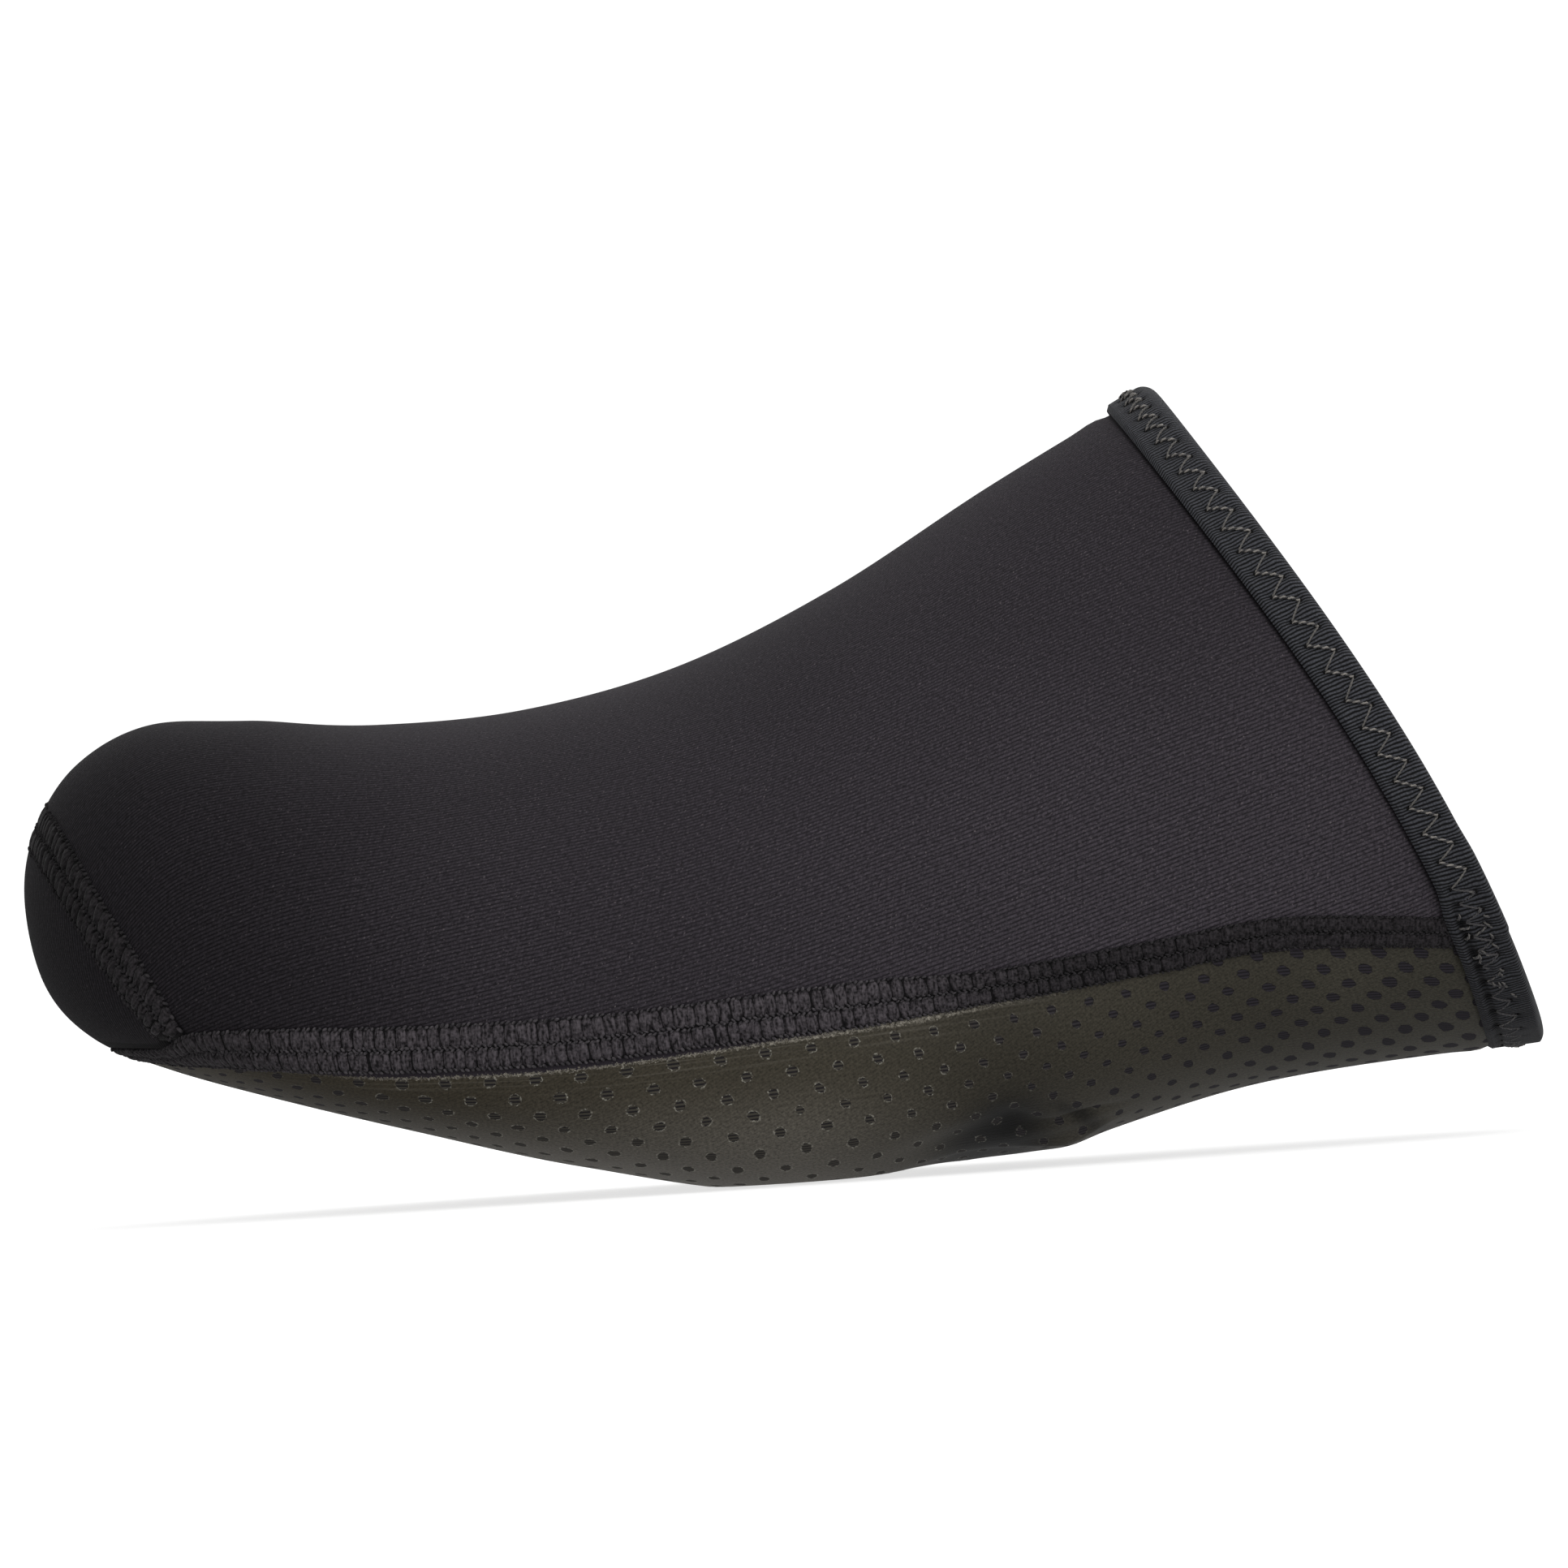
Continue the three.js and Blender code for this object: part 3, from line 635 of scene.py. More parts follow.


# Knit coated with a thin olive-grey rubber film: a low satin gloss over a fine grain, with
# round windows where the dark knit shows, and the film's frayed cut edge beside the seam,
# with a painted highlight where it curls up
def coatedKnit():
    material, tree, shader = newMaterial(
        "coatedKnit", Roughness=0.6, IOR=1.5, Specular_IOR_Level=0.1,
        Coat_Weight=0.015, Coat_Roughness=0.5)
    cloth = addNode(tree, "UVMap", uv_map="cloth")
    place = addNode(tree, "TexCoord")
    parts = addNode(tree, "SeparateXYZ", {0: cloth})
    grain = addNode(tree, "TexNoise", {"Vector": cloth, "Scale": 2.7, "Detail": 3.0, "Roughness": 0.7})
    ragged = addNode(tree, "TexNoise", {"Vector": cloth, "Scale": 3.2, "Detail": 2.0, "Roughness": 0.7})
    # Values that the mesh gives at each corner
    (columnPlace, rowPlace, radius, rimmed, fromEdge, edgeShine, edgeWidth, hollowShadow, fromTrim) = (
        addNode(tree, "Attribute", attribute_name=name).outputs[2]
        for name in ("columnPlace", "rowPlace", "dotRadius", "dotRim", "fromEdge", "edgeShine",
                     "edgeWidth", "hollowShadow", "fromTrim"))
    # Two lattices, half a cell apart, make the staggered rows
    cell = (coating["dotPitch"], 2 * coating["rowPitch"], 1)
    printed = addNode(tree, "CombineXYZ", {0: columnPlace, 1: rowPlace})
    started = addNode(tree, "VectorMath", {0: printed, 1: (*coating["firstDot"], 0)},
                      operation="SUBTRACT")
    drift = addNode(tree, "TexNoise", {"Vector": cloth, "Scale": 0.4, "Detail": 1.0})
    drifted = addNode(tree, "VectorMath", {0: drift.outputs[1], 1: (0.7, 0.7, 0), 2: started},
                      operation="MULTIPLY_ADD")
    scaled = addNode(tree, "VectorMath", {0: drifted, 1: cell}, operation="DIVIDE")
    nearest = []
    for offset in (0, 0.5):
        moved = addNode(tree, "VectorMath", {0: scaled, 1: (offset, offset, 0)}, operation="ADD")
        inCell = addNode(tree, "VectorMath", {0: moved}, operation="FRACTION")
        centred = addNode(tree, "VectorMath", {0: inCell, 1: (0.5, 0.5, 0)}, operation="SUBTRACT")
        sized = addNode(tree, "VectorMath", {0: centred, 1: cell}, operation="MULTIPLY")
        nearest.append(addNode(tree, "VectorMath", {0: sized}, operation="LENGTH").outputs[1])
    distance = addNode(tree, "Math", {0: nearest[0], 1: nearest[1]}, operation="MINIMUM")
    fray = addNode(tree, "Math", {0: ragged, 1: 0.5, 2: -0.25}, operation="MULTIPLY_ADD")
    frayed = addNode(tree, "Math", {0: distance, 1: fray}, operation="ADD")
    outside = addNode(tree, "Math", {0: frayed, 1: radius}, operation="SUBTRACT")
    dot = addNode(tree, "MapRange", {0: outside, 1: 0.06, 2: -0.06}, interpolation_type="SMOOTHSTEP")
    ringOff = addNode(tree, "Math", {0: outside, 1: 0.02}, operation="SUBTRACT")
    ringAway = addNode(tree, "Math", {0: ringOff}, operation="ABSOLUTE")
    ring = addNode(tree, "MapRange", {0: ringAway, 1: 0.2, 2: 0.03}, interpolation_type="SMOOTHSTEP")
    tufts = addNode(tree, "TexNoise", {"Vector": cloth, "Scale": 2.1, "Detail": 3.0, "Roughness": 0.75})
    broken = addNode(tree, "MapRange", {0: tufts, 1: 0.46, 2: 0.6}, interpolation_type="SMOOTHSTEP")
    ringBroken = addNode(tree, "Math", {0: ring, 1: broken}, operation="MULTIPLY")
    ringStrength = addNode(tree, "Math", {0: ringBroken, 1: rimmed}, operation="MULTIPLY")
    # Knit courses inside the windows
    courseTurns = 2 * math.pi / coating["coursePitch"]
    course = addNode(tree, "Math", {0: parts.outputs[1], 1: courseTurns, 2: ragged},
                     operation="MULTIPLY_ADD")
    courseWave = addNode(tree, "Math", {0: course}, operation="SINE")
    courseShare = addNode(tree, "MapRange", {0: courseWave, 1: -0.7, 2: 0.7})
    lightKnit = addNode(tree, "Mix", {0: rimmed, 6: coating["knitLight"],
                                      7: coating["knitWorn"]}, data_type="RGBA")
    knit = addNode(tree, "Mix", {0: courseShare, 6: coating["knit"], 7: lightKnit.outputs[2]},
                   data_type="RGBA")
    # The film is a little lighter towards the collar, and painted lighter low down under the belly, as if
    # lit from below
    where = addNode(tree, "SeparateXYZ", {0: place.outputs[3]})
    back = addNode(tree, "MapRange", {0: where, 1: cadLow.x, 2: cadHigh.x})
    film = addNode(tree, "Mix", {0: back, 6: coating["left"], 7: coating["right"]}, data_type="RGBA")
    low = addNode(tree, "MapRange", {0: where.outputs[2], 1: 0.014, 2: 0.002, 4: 0.7},
                  interpolation_type="SMOOTHSTEP")
    ahead = addNode(tree, "MapRange", {0: where, 1: 0.0, 2: 0.02, 3: 1.0, 4: 0.2})
    lowAhead = addNode(tree, "Math", {0: low, 1: ahead}, operation="MULTIPLY")
    filmLow = addNode(tree, "Mix", {0: lowAhead, 6: film.outputs[2], 7: coating["bellyLight"]},
                      data_type="RGBA")
    # Painted shadow in the hollow and the crease under the foot
    dark = addNode(tree, "Mix", {0: hollowShadow, 6: filmLow.outputs[2], 7: coating["hollowShadow"]},
                   data_type="RGBA")
    mottle = addNode(tree, "TexNoise", {"Vector": place.outputs[3], "Scale": 60.0, "Detail": 3.0})
    mottleShade = addNode(tree, "MapRange", {0: mottle, 1: 0.3, 2: 0.7, 3: 0.9, 4: 1.1})
    grainShade = addNode(tree, "MapRange", {0: grain, 1: 0.3, 2: 0.7, 3: 0.55, 4: 1.45})
    # The base knit prints through the film as fine slanting lines, 0.35 mm apart
    slanting = addNode(tree, "VectorMath", {0: cloth, 1: (7.5, 16.3, 0)}, operation="DOT_PRODUCT")
    wavering = addNode(tree, "Math", {0: ragged, 1: 3.0, 2: slanting.outputs[1]}, operation="MULTIPLY_ADD")
    lines = addNode(tree, "Math", {0: wavering}, operation="SINE")
    printShade = addNode(tree, "Math", {0: lines, 1: 0.09, 2: grainShade}, operation="MULTIPLY_ADD")
    shade = addNode(tree, "Math", {0: mottleShade, 1: printShade}, operation="MULTIPLY")
    filmShaded = addNode(tree, "VectorMath", {0: dark.outputs[2], 3: shade}, operation="SCALE")
    # Thin threads under the film, drawn long beside the seam; near the film's edge they carry a painted
    # highlight
    drawn = addNode(tree, "VectorMath", {0: cloth, 1: (0.05, 2.6, 1)}, operation="MULTIPLY")
    threads = addNode(tree, "TexNoise", {"Vector": drawn, "Scale": 1.0, "Detail": 3.0})
    streak = addNode(tree, "MapRange", {0: threads, 1: 0.5, 2: 0.68}, interpolation_type="SMOOTHSTEP")
    streakFade = addNode(tree, "MapRange", {0: fromEdge, 1: 3.2, 2: 0.1, 3: 0.0, 4: 0.14})
    streakHere = addNode(tree, "Math", {0: streak, 1: streakFade}, operation="MULTIPLY")
    streakShine = addNode(tree, "Math", {0: streakHere, 1: edgeShine}, operation="MULTIPLY")
    streaked = addNode(tree, "Mix", {0: streakShine, 6: filmShaded, 7: coating["edgeHighlight"]},
                       data_type="RGBA")
    ringed = addNode(tree, "Mix", {0: ringStrength, 6: streaked.outputs[2], 7: coating["rim"]},
                     data_type="RGBA")
    inner = addNode(tree, "Math", {0: dot, 1: 0.92}, operation="MULTIPLY")
    dotted = addNode(tree, "Mix", {0: inner, 6: ringed.outputs[2], 7: knit.outputs[2]}, data_type="RGBA")
    # The film's cut edge with its painted highlight, and bare knit between it and the seam
    wander = addNode(tree, "Math", {0: ragged, 1: 1.3, 2: -0.65}, operation="MULTIPLY_ADD")
    edgeAway = addNode(tree, "Math", {0: fromEdge, 1: wander}, operation="ADD")
    edgeNear = addNode(tree, "Math", {0: edgeAway}, operation="ABSOLUTE")
    edgeShare = addNode(tree, "Math", {0: edgeNear, 1: edgeWidth}, operation="DIVIDE")
    line = addNode(tree, "MapRange", {0: edgeShare, 1: 1.0, 2: 0.35}, interpolation_type="SMOOTHSTEP")
    lineBroken = addNode(tree, "MapRange", {0: tufts, 1: 0.4, 2: 0.62, 3: 0.05, 4: 0.9})
    lineHere = addNode(tree, "Math", {0: line, 1: lineBroken}, operation="MULTIPLY")
    lineShine = addNode(tree, "Math", {0: lineHere, 1: edgeShine}, operation="MULTIPLY")
    bare = addNode(tree, "MapRange", {0: edgeAway, 1: 0.02, 2: -0.1}, interpolation_type="SMOOTHSTEP")
    bared = addNode(tree, "Mix", {0: bare, 6: dotted.outputs[2], 7: coating["bare"]}, data_type="RGBA")
    edged = addNode(tree, "Mix", {0: lineShine, 6: bared.outputs[2], 7: coating["edgeHighlight"]},
                    data_type="RGBA")
    # Painted shade: a dark groove where the film goes under the tape
    groove = addNode(tree, "MapRange", {0: fromTrim, 1: -0.1, 2: 0.7, 3: 0.3, 4: 1.0},
                     interpolation_type="SMOOTHSTEP")
    trimShaded = addNode(tree, "VectorMath", {0: edged.outputs[2], 3: groove}, operation="SCALE")
    tree.links.new(trimShaded.outputs[0], shader.inputs["Base Color"])
    matt = addNode(tree, "Math", {0: dot, 1: bare}, operation="MAXIMUM")
    rough = addNode(tree, "MapRange", {0: matt, 3: 0.62, 4: 0.92})
    tree.links.new(rough.outputs[0], shader.inputs["Roughness"])
    # Dots and bare knit lie lower than the film by its thickness
    thickness = addNode(tree, "Math", {0: 1.0, 1: matt}, operation="SUBTRACT")
    filmBump = addNode(tree, "Bump", {"Height": thickness, "Distance": coating["thickness"] * metre})
    lineBump = addNode(tree, "Bump", {"Height": lineShine, "Distance": 0.08 * metre, "Normal": filmBump})
    grainBump = addNode(tree, "Bump", {"Height": grain, "Distance": 0.06 * metre, "Normal": lineBump})
    threadBump = addNode(tree, "Bump", {"Height": threads, "Distance": 0.05 * metre, "Normal": grainBump})
    tree.links.new(threadBump.outputs[0], shader.inputs["Normal"])
    return material


# Folded knitted elastic: fine ribs square to the edge, drawn wavy by the stitches
def knittedElastic():
    material, tree, shader = newMaterial("knittedElastic", Roughness=0.85, Specular_IOR_Level=0.15,
                                         Sheen_Weight=0.04, Sheen_Roughness=0.4)
    cloth = addNode(tree, "UVMap", uv_map="cloth")
    parts = addNode(tree, "SeparateXYZ", {0: cloth})
    waver = addNode(tree, "TexNoise", {"Vector": cloth, "Scale": 0.8, "Detail": 2.0})
    turns = addNode(tree, "Math", {0: parts.outputs[0], 1: 2 * math.pi / tape["ribPitch"]},
                    operation="MULTIPLY")
    turned = addNode(tree, "Math", {0: waver, 1: 4.0, 2: turns}, operation="MULTIPLY_ADD")
    wave = addNode(tree, "Math", {0: turned}, operation="SINE")
    rib = addNode(tree, "MapRange", {0: wave, 1: -1.0, 2: 0.7}, interpolation_type="SMOOTHSTEP")
    loops = addNode(tree, "Math", {0: parts.outputs[1], 1: 2 * math.pi / 0.33, 2: wave},
                    operation="MULTIPLY_ADD")
    loop = addNode(tree, "Math", {0: loops}, operation="SINE")
    fuzz = addNode(tree, "TexNoise", {"Vector": cloth, "Scale": 3.5, "Detail": 3.0})
    shade = addNode(tree, "MapRange", {0: fuzz, 1: 0.3, 2: 0.7, 3: 0.65, 4: 1.4})
    loopShade = addNode(tree, "Math", {0: loop, 1: 0.1, 2: shade}, operation="MULTIPLY_ADD")
    crest = addNode(tree, "VectorMath", {0: colour("#434449")[:3], 3: loopShade}, operation="SCALE")
    ribbed = addNode(tree, "Mix", {0: rib, 6: "#060607", 7: crest}, data_type="RGBA")
    # Painted shade in the needle holes and in the groove along the ridge; the tape is also darker low down
    pitShade = addNode(tree, "Attribute", attribute_name="pitShade").outputs[2]
    place = addNode(tree, "TexCoord")
    where = addNode(tree, "SeparateXYZ", {0: place.outputs[3]})
    level = addNode(tree, "MapRange", {0: where.outputs[2], 1: 0.012, 2: 0.042, 3: 0.6, 4: 1.0})
    outOfPit = addNode(tree, "Math", {0: 1.0, 1: pitShade}, operation="SUBTRACT")
    openLevel = addNode(tree, "Math", {0: outOfPit, 1: level}, operation="MULTIPLY")
    pitShaded = addNode(tree, "VectorMath", {0: ribbed.outputs[2], 3: openLevel}, operation="SCALE")
    tree.links.new(pitShaded.outputs[0], shader.inputs["Base Color"])
    ribBump = addNode(tree, "Bump", {"Height": rib, "Distance": 0.09 * metre})
    fuzzBump = addNode(tree, "Bump", {"Height": fuzz, "Distance": 0.04 * metre, "Normal": ribBump})
    tree.links.new(fuzzBump.outputs[0], shader.inputs["Normal"])
    return material


# How dark the seam's yarns are along the cover, places in metres and the levels there:
# darker towards the toe tip as painted shade, because the toe side gets less light, and darker towards the
# collar end
yarn = {
    "frontPlaces": (-0.085, -0.055),
    "frontLevels": (0.22, 1.1),
    "rearPlaces": (0.01, 0.032),
    "rearLevels": (1.0, 0.38),
}


# Textured polyester looper thread, which covers the flatlock seam with soft crosswise yarns
def looperYarn(name, dark, light, strands):
    material, tree, shader = newMaterial(name, Roughness=0.85, Specular_IOR_Level=0.15,
                                         Sheen_Weight=0.05, Sheen_Roughness=0.4)
    cloth = addNode(tree, "UVMap", uv_map="cloth")
    drawn = addNode(tree, "VectorMath", {0: cloth, 1: (strands, 0.9, 1)}, operation="MULTIPLY")
    strand = addNode(tree, "TexNoise", {"Vector": drawn, "Scale": 1.0, "Detail": 2.0, "Distortion": 0.3})
    fuzz = addNode(tree, "TexNoise", {"Vector": cloth, "Scale": 2.8, "Detail": 3.0})
    both = addNode(tree, "Math", {0: fuzz, 1: 0.8, 2: strand}, operation="MULTIPLY_ADD")
    share = addNode(tree, "MapRange", {0: both, 1: 0.7, 2: 1.12})
    tone = addNode(tree, "Mix", {0: share, 6: dark, 7: light}, data_type="RGBA")
    place = addNode(tree, "TexCoord")
    where = addNode(tree, "SeparateXYZ", {0: place.outputs[3]})
    # Painted shade towards the toe tip, from the levels above
    front, rear = (
        addNode(tree, "MapRange", {0: where, 1: yarn[end + "Places"][0], 2: yarn[end + "Places"][1],
                                   3: yarn[end + "Levels"][0], 4: yarn[end + "Levels"][1]})
        for end in ("front", "rear"))
    level = addNode(tree, "Math", {0: front, 1: rear}, operation="MULTIPLY")
    levelled = addNode(tree, "VectorMath", {0: tone.outputs[2], 3: level}, operation="SCALE")
    tree.links.new(levelled.outputs[0], shader.inputs["Base Color"])
    bump = addNode(tree, "Bump", {"Height": both, "Distance": 0.12 * metre})
    tree.links.new(bump.outputs[0], shader.inputs["Normal"])
    return material


# Twisted two-ply sewing thread: smoother than the yarns, so it shines a little
def sewingThread(name, dark, light):
    material, tree, shader = newMaterial(name, Roughness=0.5, Specular_IOR_Level=0.5,
                                         Sheen_Weight=0.2, Sheen_Roughness=0.3)
    place = addNode(tree, "TexCoord")
    fibre = addNode(tree, "TexNoise", {"Vector": place.outputs[3], "Scale": 3000.0, "Detail": 2.0})
    tone = addNode(tree, "Mix", {0: fibre, 6: dark, 7: light}, data_type="RGBA")
    tree.links.new(tone.outputs[2], shader.inputs["Base Color"])
    bump = addNode(tree, "Bump", {"Height": fibre, "Distance": 0.03 * metre})
    tree.links.new(bump.outputs[0], shader.inputs["Normal"])
    return material


finishes = {
    "jersey": ribbedJersey("ribbedJersey"),
    "lining": brushedLining(),
    "coating": coatedKnit(),
    "elastic": knittedElastic(),
    "bundle": looperYarn("looperYarn", "#131113", "#504b4f", 3.0),
    "knot": looperYarn("looperLoops", "#252326", "#4f4b4e", 2.0),
    # The seam's bed, near black as painted shade in the gaps between the bundles
    "shadedBed": looperYarn("shadedSeamBed", "#0b0a0b", "#171517", 3.0),
    "thread": sewingThread("sewingThread", "#3a3939", "#a39d96"),
    "shadedPly": sewingThread("shadedPly", "#171618", "#353334"),
    "thinThread": sewingThread("thinThread", "#2b2a2b", "#6f6b66"),
    # A copy of the thread with painted shade, for thread sunk in the tape
    "sunkShadedThread": sewingThread("sunkShadedThread", "#1b1a1c", "#434042"),
}
print("materials made")


upper = {"alongCells": 170, "overCells": 230, "pinch": 0.35}


# Distance in from the collar's edge
def insetOf(reach, angle):
    return (1 - reach) * reachLength(np.ones_like(angle), angle)


seams = {
    "halfWidth": 2.6,
    "bundlePitch": 1.36,
    "bundleHeight": 1.0,  # half of it is sunk, so that each row is as round as a cord
    "bundleLift": 0.03,
    "loopPitch": 0.68,
    "loopLift": 0.3,
    "loopSize": ((0.66, 0.06), (0.36, 0.05), (0.46, 0.05)),  # each with how much it varies
    "bedLift": 0.2,
    "bedWall": 0.3,
    # Distances behind the toe tip between which the sole seam changes, and what it comes to
    "rearTaper": (98, 119, 0.71),  # share of its width towards the collar
    "rearRise": (136, 155, -1.15),  # there it lies above the panels' meeting line
    "toeTaper": (21, 14.5, 0.65),  # share of its width where it turns under the toe
    "looseRear": (130, 160, 0.3),  # towards the collar the bundles spread and run together
    "toeWidth": 1.1,  # width of the toe seam, as a share of the sole seam's
    "toeShift": (-0.7, 1.7),  # how far it lies towards the toe tip, low down and over the toe
    "toeSink": (0.12, 0.26),  # how deep it lies low down, and how much deeper over the toe
    "underToe": 1.75,  # how far the sole seam lies below its line under the toe
    "underSink": 0.3,
}


def seamTaper(reach):
    start, stop, share = seams["rearTaper"]
    return 1 - (1 - share) * smooth(start, stop, behindTip(reach))


def soleSeamShift(reach):
    start, stop, shift = seams["rearRise"]
    return shift * smooth(start, stop, behindTip(reach))


def toeSeamShift(angle):
    low, high = seams["toeShift"]
    return between(low, high, np.maximum(np.sin(angle), 0) ** 2)


# The neoprene dips where the tape is sewn down on it, and swells beside it
def besideTape(inset):
    dip = -upper["pinch"] * np.exp(-((inset - tape["width"] + 0.2) / 1.1) ** 2)
    return dip + 0.4 * upper["pinch"] * np.exp(-((inset - tape["width"] - 2.6) / 1.6) ** 2)


# Distance from the edges of the seams and the tape
def fromTrimEdge(reach, angle, startReach):
    outerAngle = np.where(angle > quarterTurn, halfTurn - angle, angle)
    toSoleSeam = fromTop(reach, seamAngle(reach)) - fromTop(reach, outerAngle)
    toToeSeam = np.abs(reach - startReach) * reachLength(reach, angle)
    toeSeamEdge = seams["halfWidth"] * seams["toeWidth"] - toeSeamShift(angle)
    soleSeamEdge = seams["halfWidth"] * seamTaper(reach) - soleSeamShift(reach)
    trim = np.minimum(toSoleSeam - soleSeamEdge, toToeSeam - toeSeamEdge)
    return np.minimum(trim, insetOf(reach, angle) - tape["width"])


def makeUpper():
    piece, along, over = addGrid("upperPanel", upper["alongCells"], upper["overCells"])
    reach, angle = panelPlace(along, over, 1)
    start = toeEdge(between(junctionAngle, halfTurn - junctionAngle, over))
    writeAttribute(piece.data, "fromTrim", fromTrimEdge(reach, angle, start))
    writePlaces(piece.data, lifted(reach, angle, besideTape(insetOf(reach, angle))))
    writeCloth(piece.data, np.stack([lookUp(alongTable, reach, angle), fromTop(reach, angle)], axis=-1))
    giveWall(piece, walls["upper"], walls["rounding"], "jersey", "lining")
    belongs(piece, "upper")


# The toe panel is a square grid drawn out to a disc, so that no pole shows at the toe tip
def makeToePanel():
    piece, across, upwards = addGrid("toePanel", 72, 72)
    a, b = 2 * across - 1, 2 * upwards - 1
    radius = np.where(np.abs(a) > np.abs(b), a, b)
    wide = np.abs(a) > np.abs(b)
    safe = np.where(radius == 0, 1, radius)
    turn = np.where(wide, (math.pi / 4) * b / safe, quarterTurn - (math.pi / 4) * a / safe)
    turn = np.where(radius < 0, turn + halfTurn, turn)
    radius = np.abs(radius)
    angle = (turn + quarterTurn) % (2 * math.pi) - quarterTurn
    edge = toeEdge(angle)
    edge = edge - walls["gap"] / 2 / reachLength(edge, angle)
    reach = radius * edge
    points = lifted(reach, angle, np.zeros_like(reach))
    writePlaces(piece.data, points)
    # Ribs run up and down: their coordinate is the distance round the toe
    middle = np.array([32.0, 5.0])
    around = np.arctan2(points[:, 1] - middle[1], middle[0] - points[:, 0]) * 30
    writeCloth(piece.data, np.stack([points[:, 2], around], axis=-1))
    seamEdge = seams["halfWidth"] * seams["toeWidth"] + toeSeamShift(angle)
    writeAttribute(piece.data, "fromTrim", (edge - reach) * reachLength(reach, angle) - seamEdge)
    giveWall(piece, walls["toe"], walls["rounding"], "jersey", "lining")
    belongs(piece, "toe_panel")


sole = {
    "alongCells": 240,
    "underCells": 170,
    # Distances behind the toe tip, and there the dot's radius, how white its frayed rim is,
    # where the film's edge lies below the middle of the seam and how strong the painted highlight on that
    # edge is
    "stations": (10, 35, 42, 60, 80, 95, 108, 118, 130, 150, 178),
    "dotRadius": (0.72, 0.72, 0.70, 0.68, 0.63, 0.58, 0.57, 0.57, 0.62, 0.82, 1.08),
    "dotRim": (0.1, 0.3, 0.8, 1.0, 1.0, 0.95, 0.8, 0.35, 0.08, 0.0, 0.0),
    "edge": (2.9, 3.2, 3.45, 3.4, 3.2, 2.95, 2.4, 1.95, 1.9, 1.2, 0.9),
    "edgeShine": (0.0, 0.3, 0.9, 1.0, 1.0, 1.0, 0.9, 0.5, 0.0, 0.0, 0.0),
    "edgeWidth": (0.2, 0.2, 0.24, 0.24, 0.24, 0.4, 0.7, 0.5, 0.2, 0.2, 0.2),
    # How close the printed rows lie beside the seam, how much less so under the foot, and
    # between which distances from the seam that changes
    "seamRows": 1.07,
    "underRows": -0.5,
    "rowChange": (10.5, 19),
    "archRows": (138, 16, 0.16),  # closer under the arch: behind the toe tip, how far, how much
    "rearColumns": (122, 0.1),  # closer dots from here on along the seam, and how much
    # The shadowed hollow: its place in side view, how its long way slants, and its half sizes
    # along that way towards the collar and towards the toe, and across it
    "hollowPlace": (114.0, 3.6),
    "hollowSlant": 37,
    "hollowSize": (5.4, 11.0, 4.5),
    "creasePlace": (122.8, 5.4),
    "creaseSlant": -27,
    "creaseSize": (5.0, 1.1),
    "shadows": (0.99, 0.28, 0.8),  # of the hollow, of the cloth round it and of the crease
    "outerSide": (5, -10),  # they stay on the outer side of the foot, between these y
}


# How far points lie from a place in side view, along a slanting line and square to it
def fromSlant(points, place, degrees):
    slant = math.radians(degrees)
    x, z = points[:, 0] - place[0], points[:, 2] - place[1]
    return x * math.cos(slant) + z * math.sin(slant), z * math.cos(slant) - x * math.sin(slant)


# Where the printed rows lie, by distance from the seam
rowDistances = np.linspace(0, 120, 961)
rowSpread = sole["seamRows"] + sole["underRows"] * smooth(*sole["rowChange"], rowDistances)
rowPlaces = np.pad(np.cumsum(rowSpread[1:] * np.diff(rowDistances)), (1, 0))


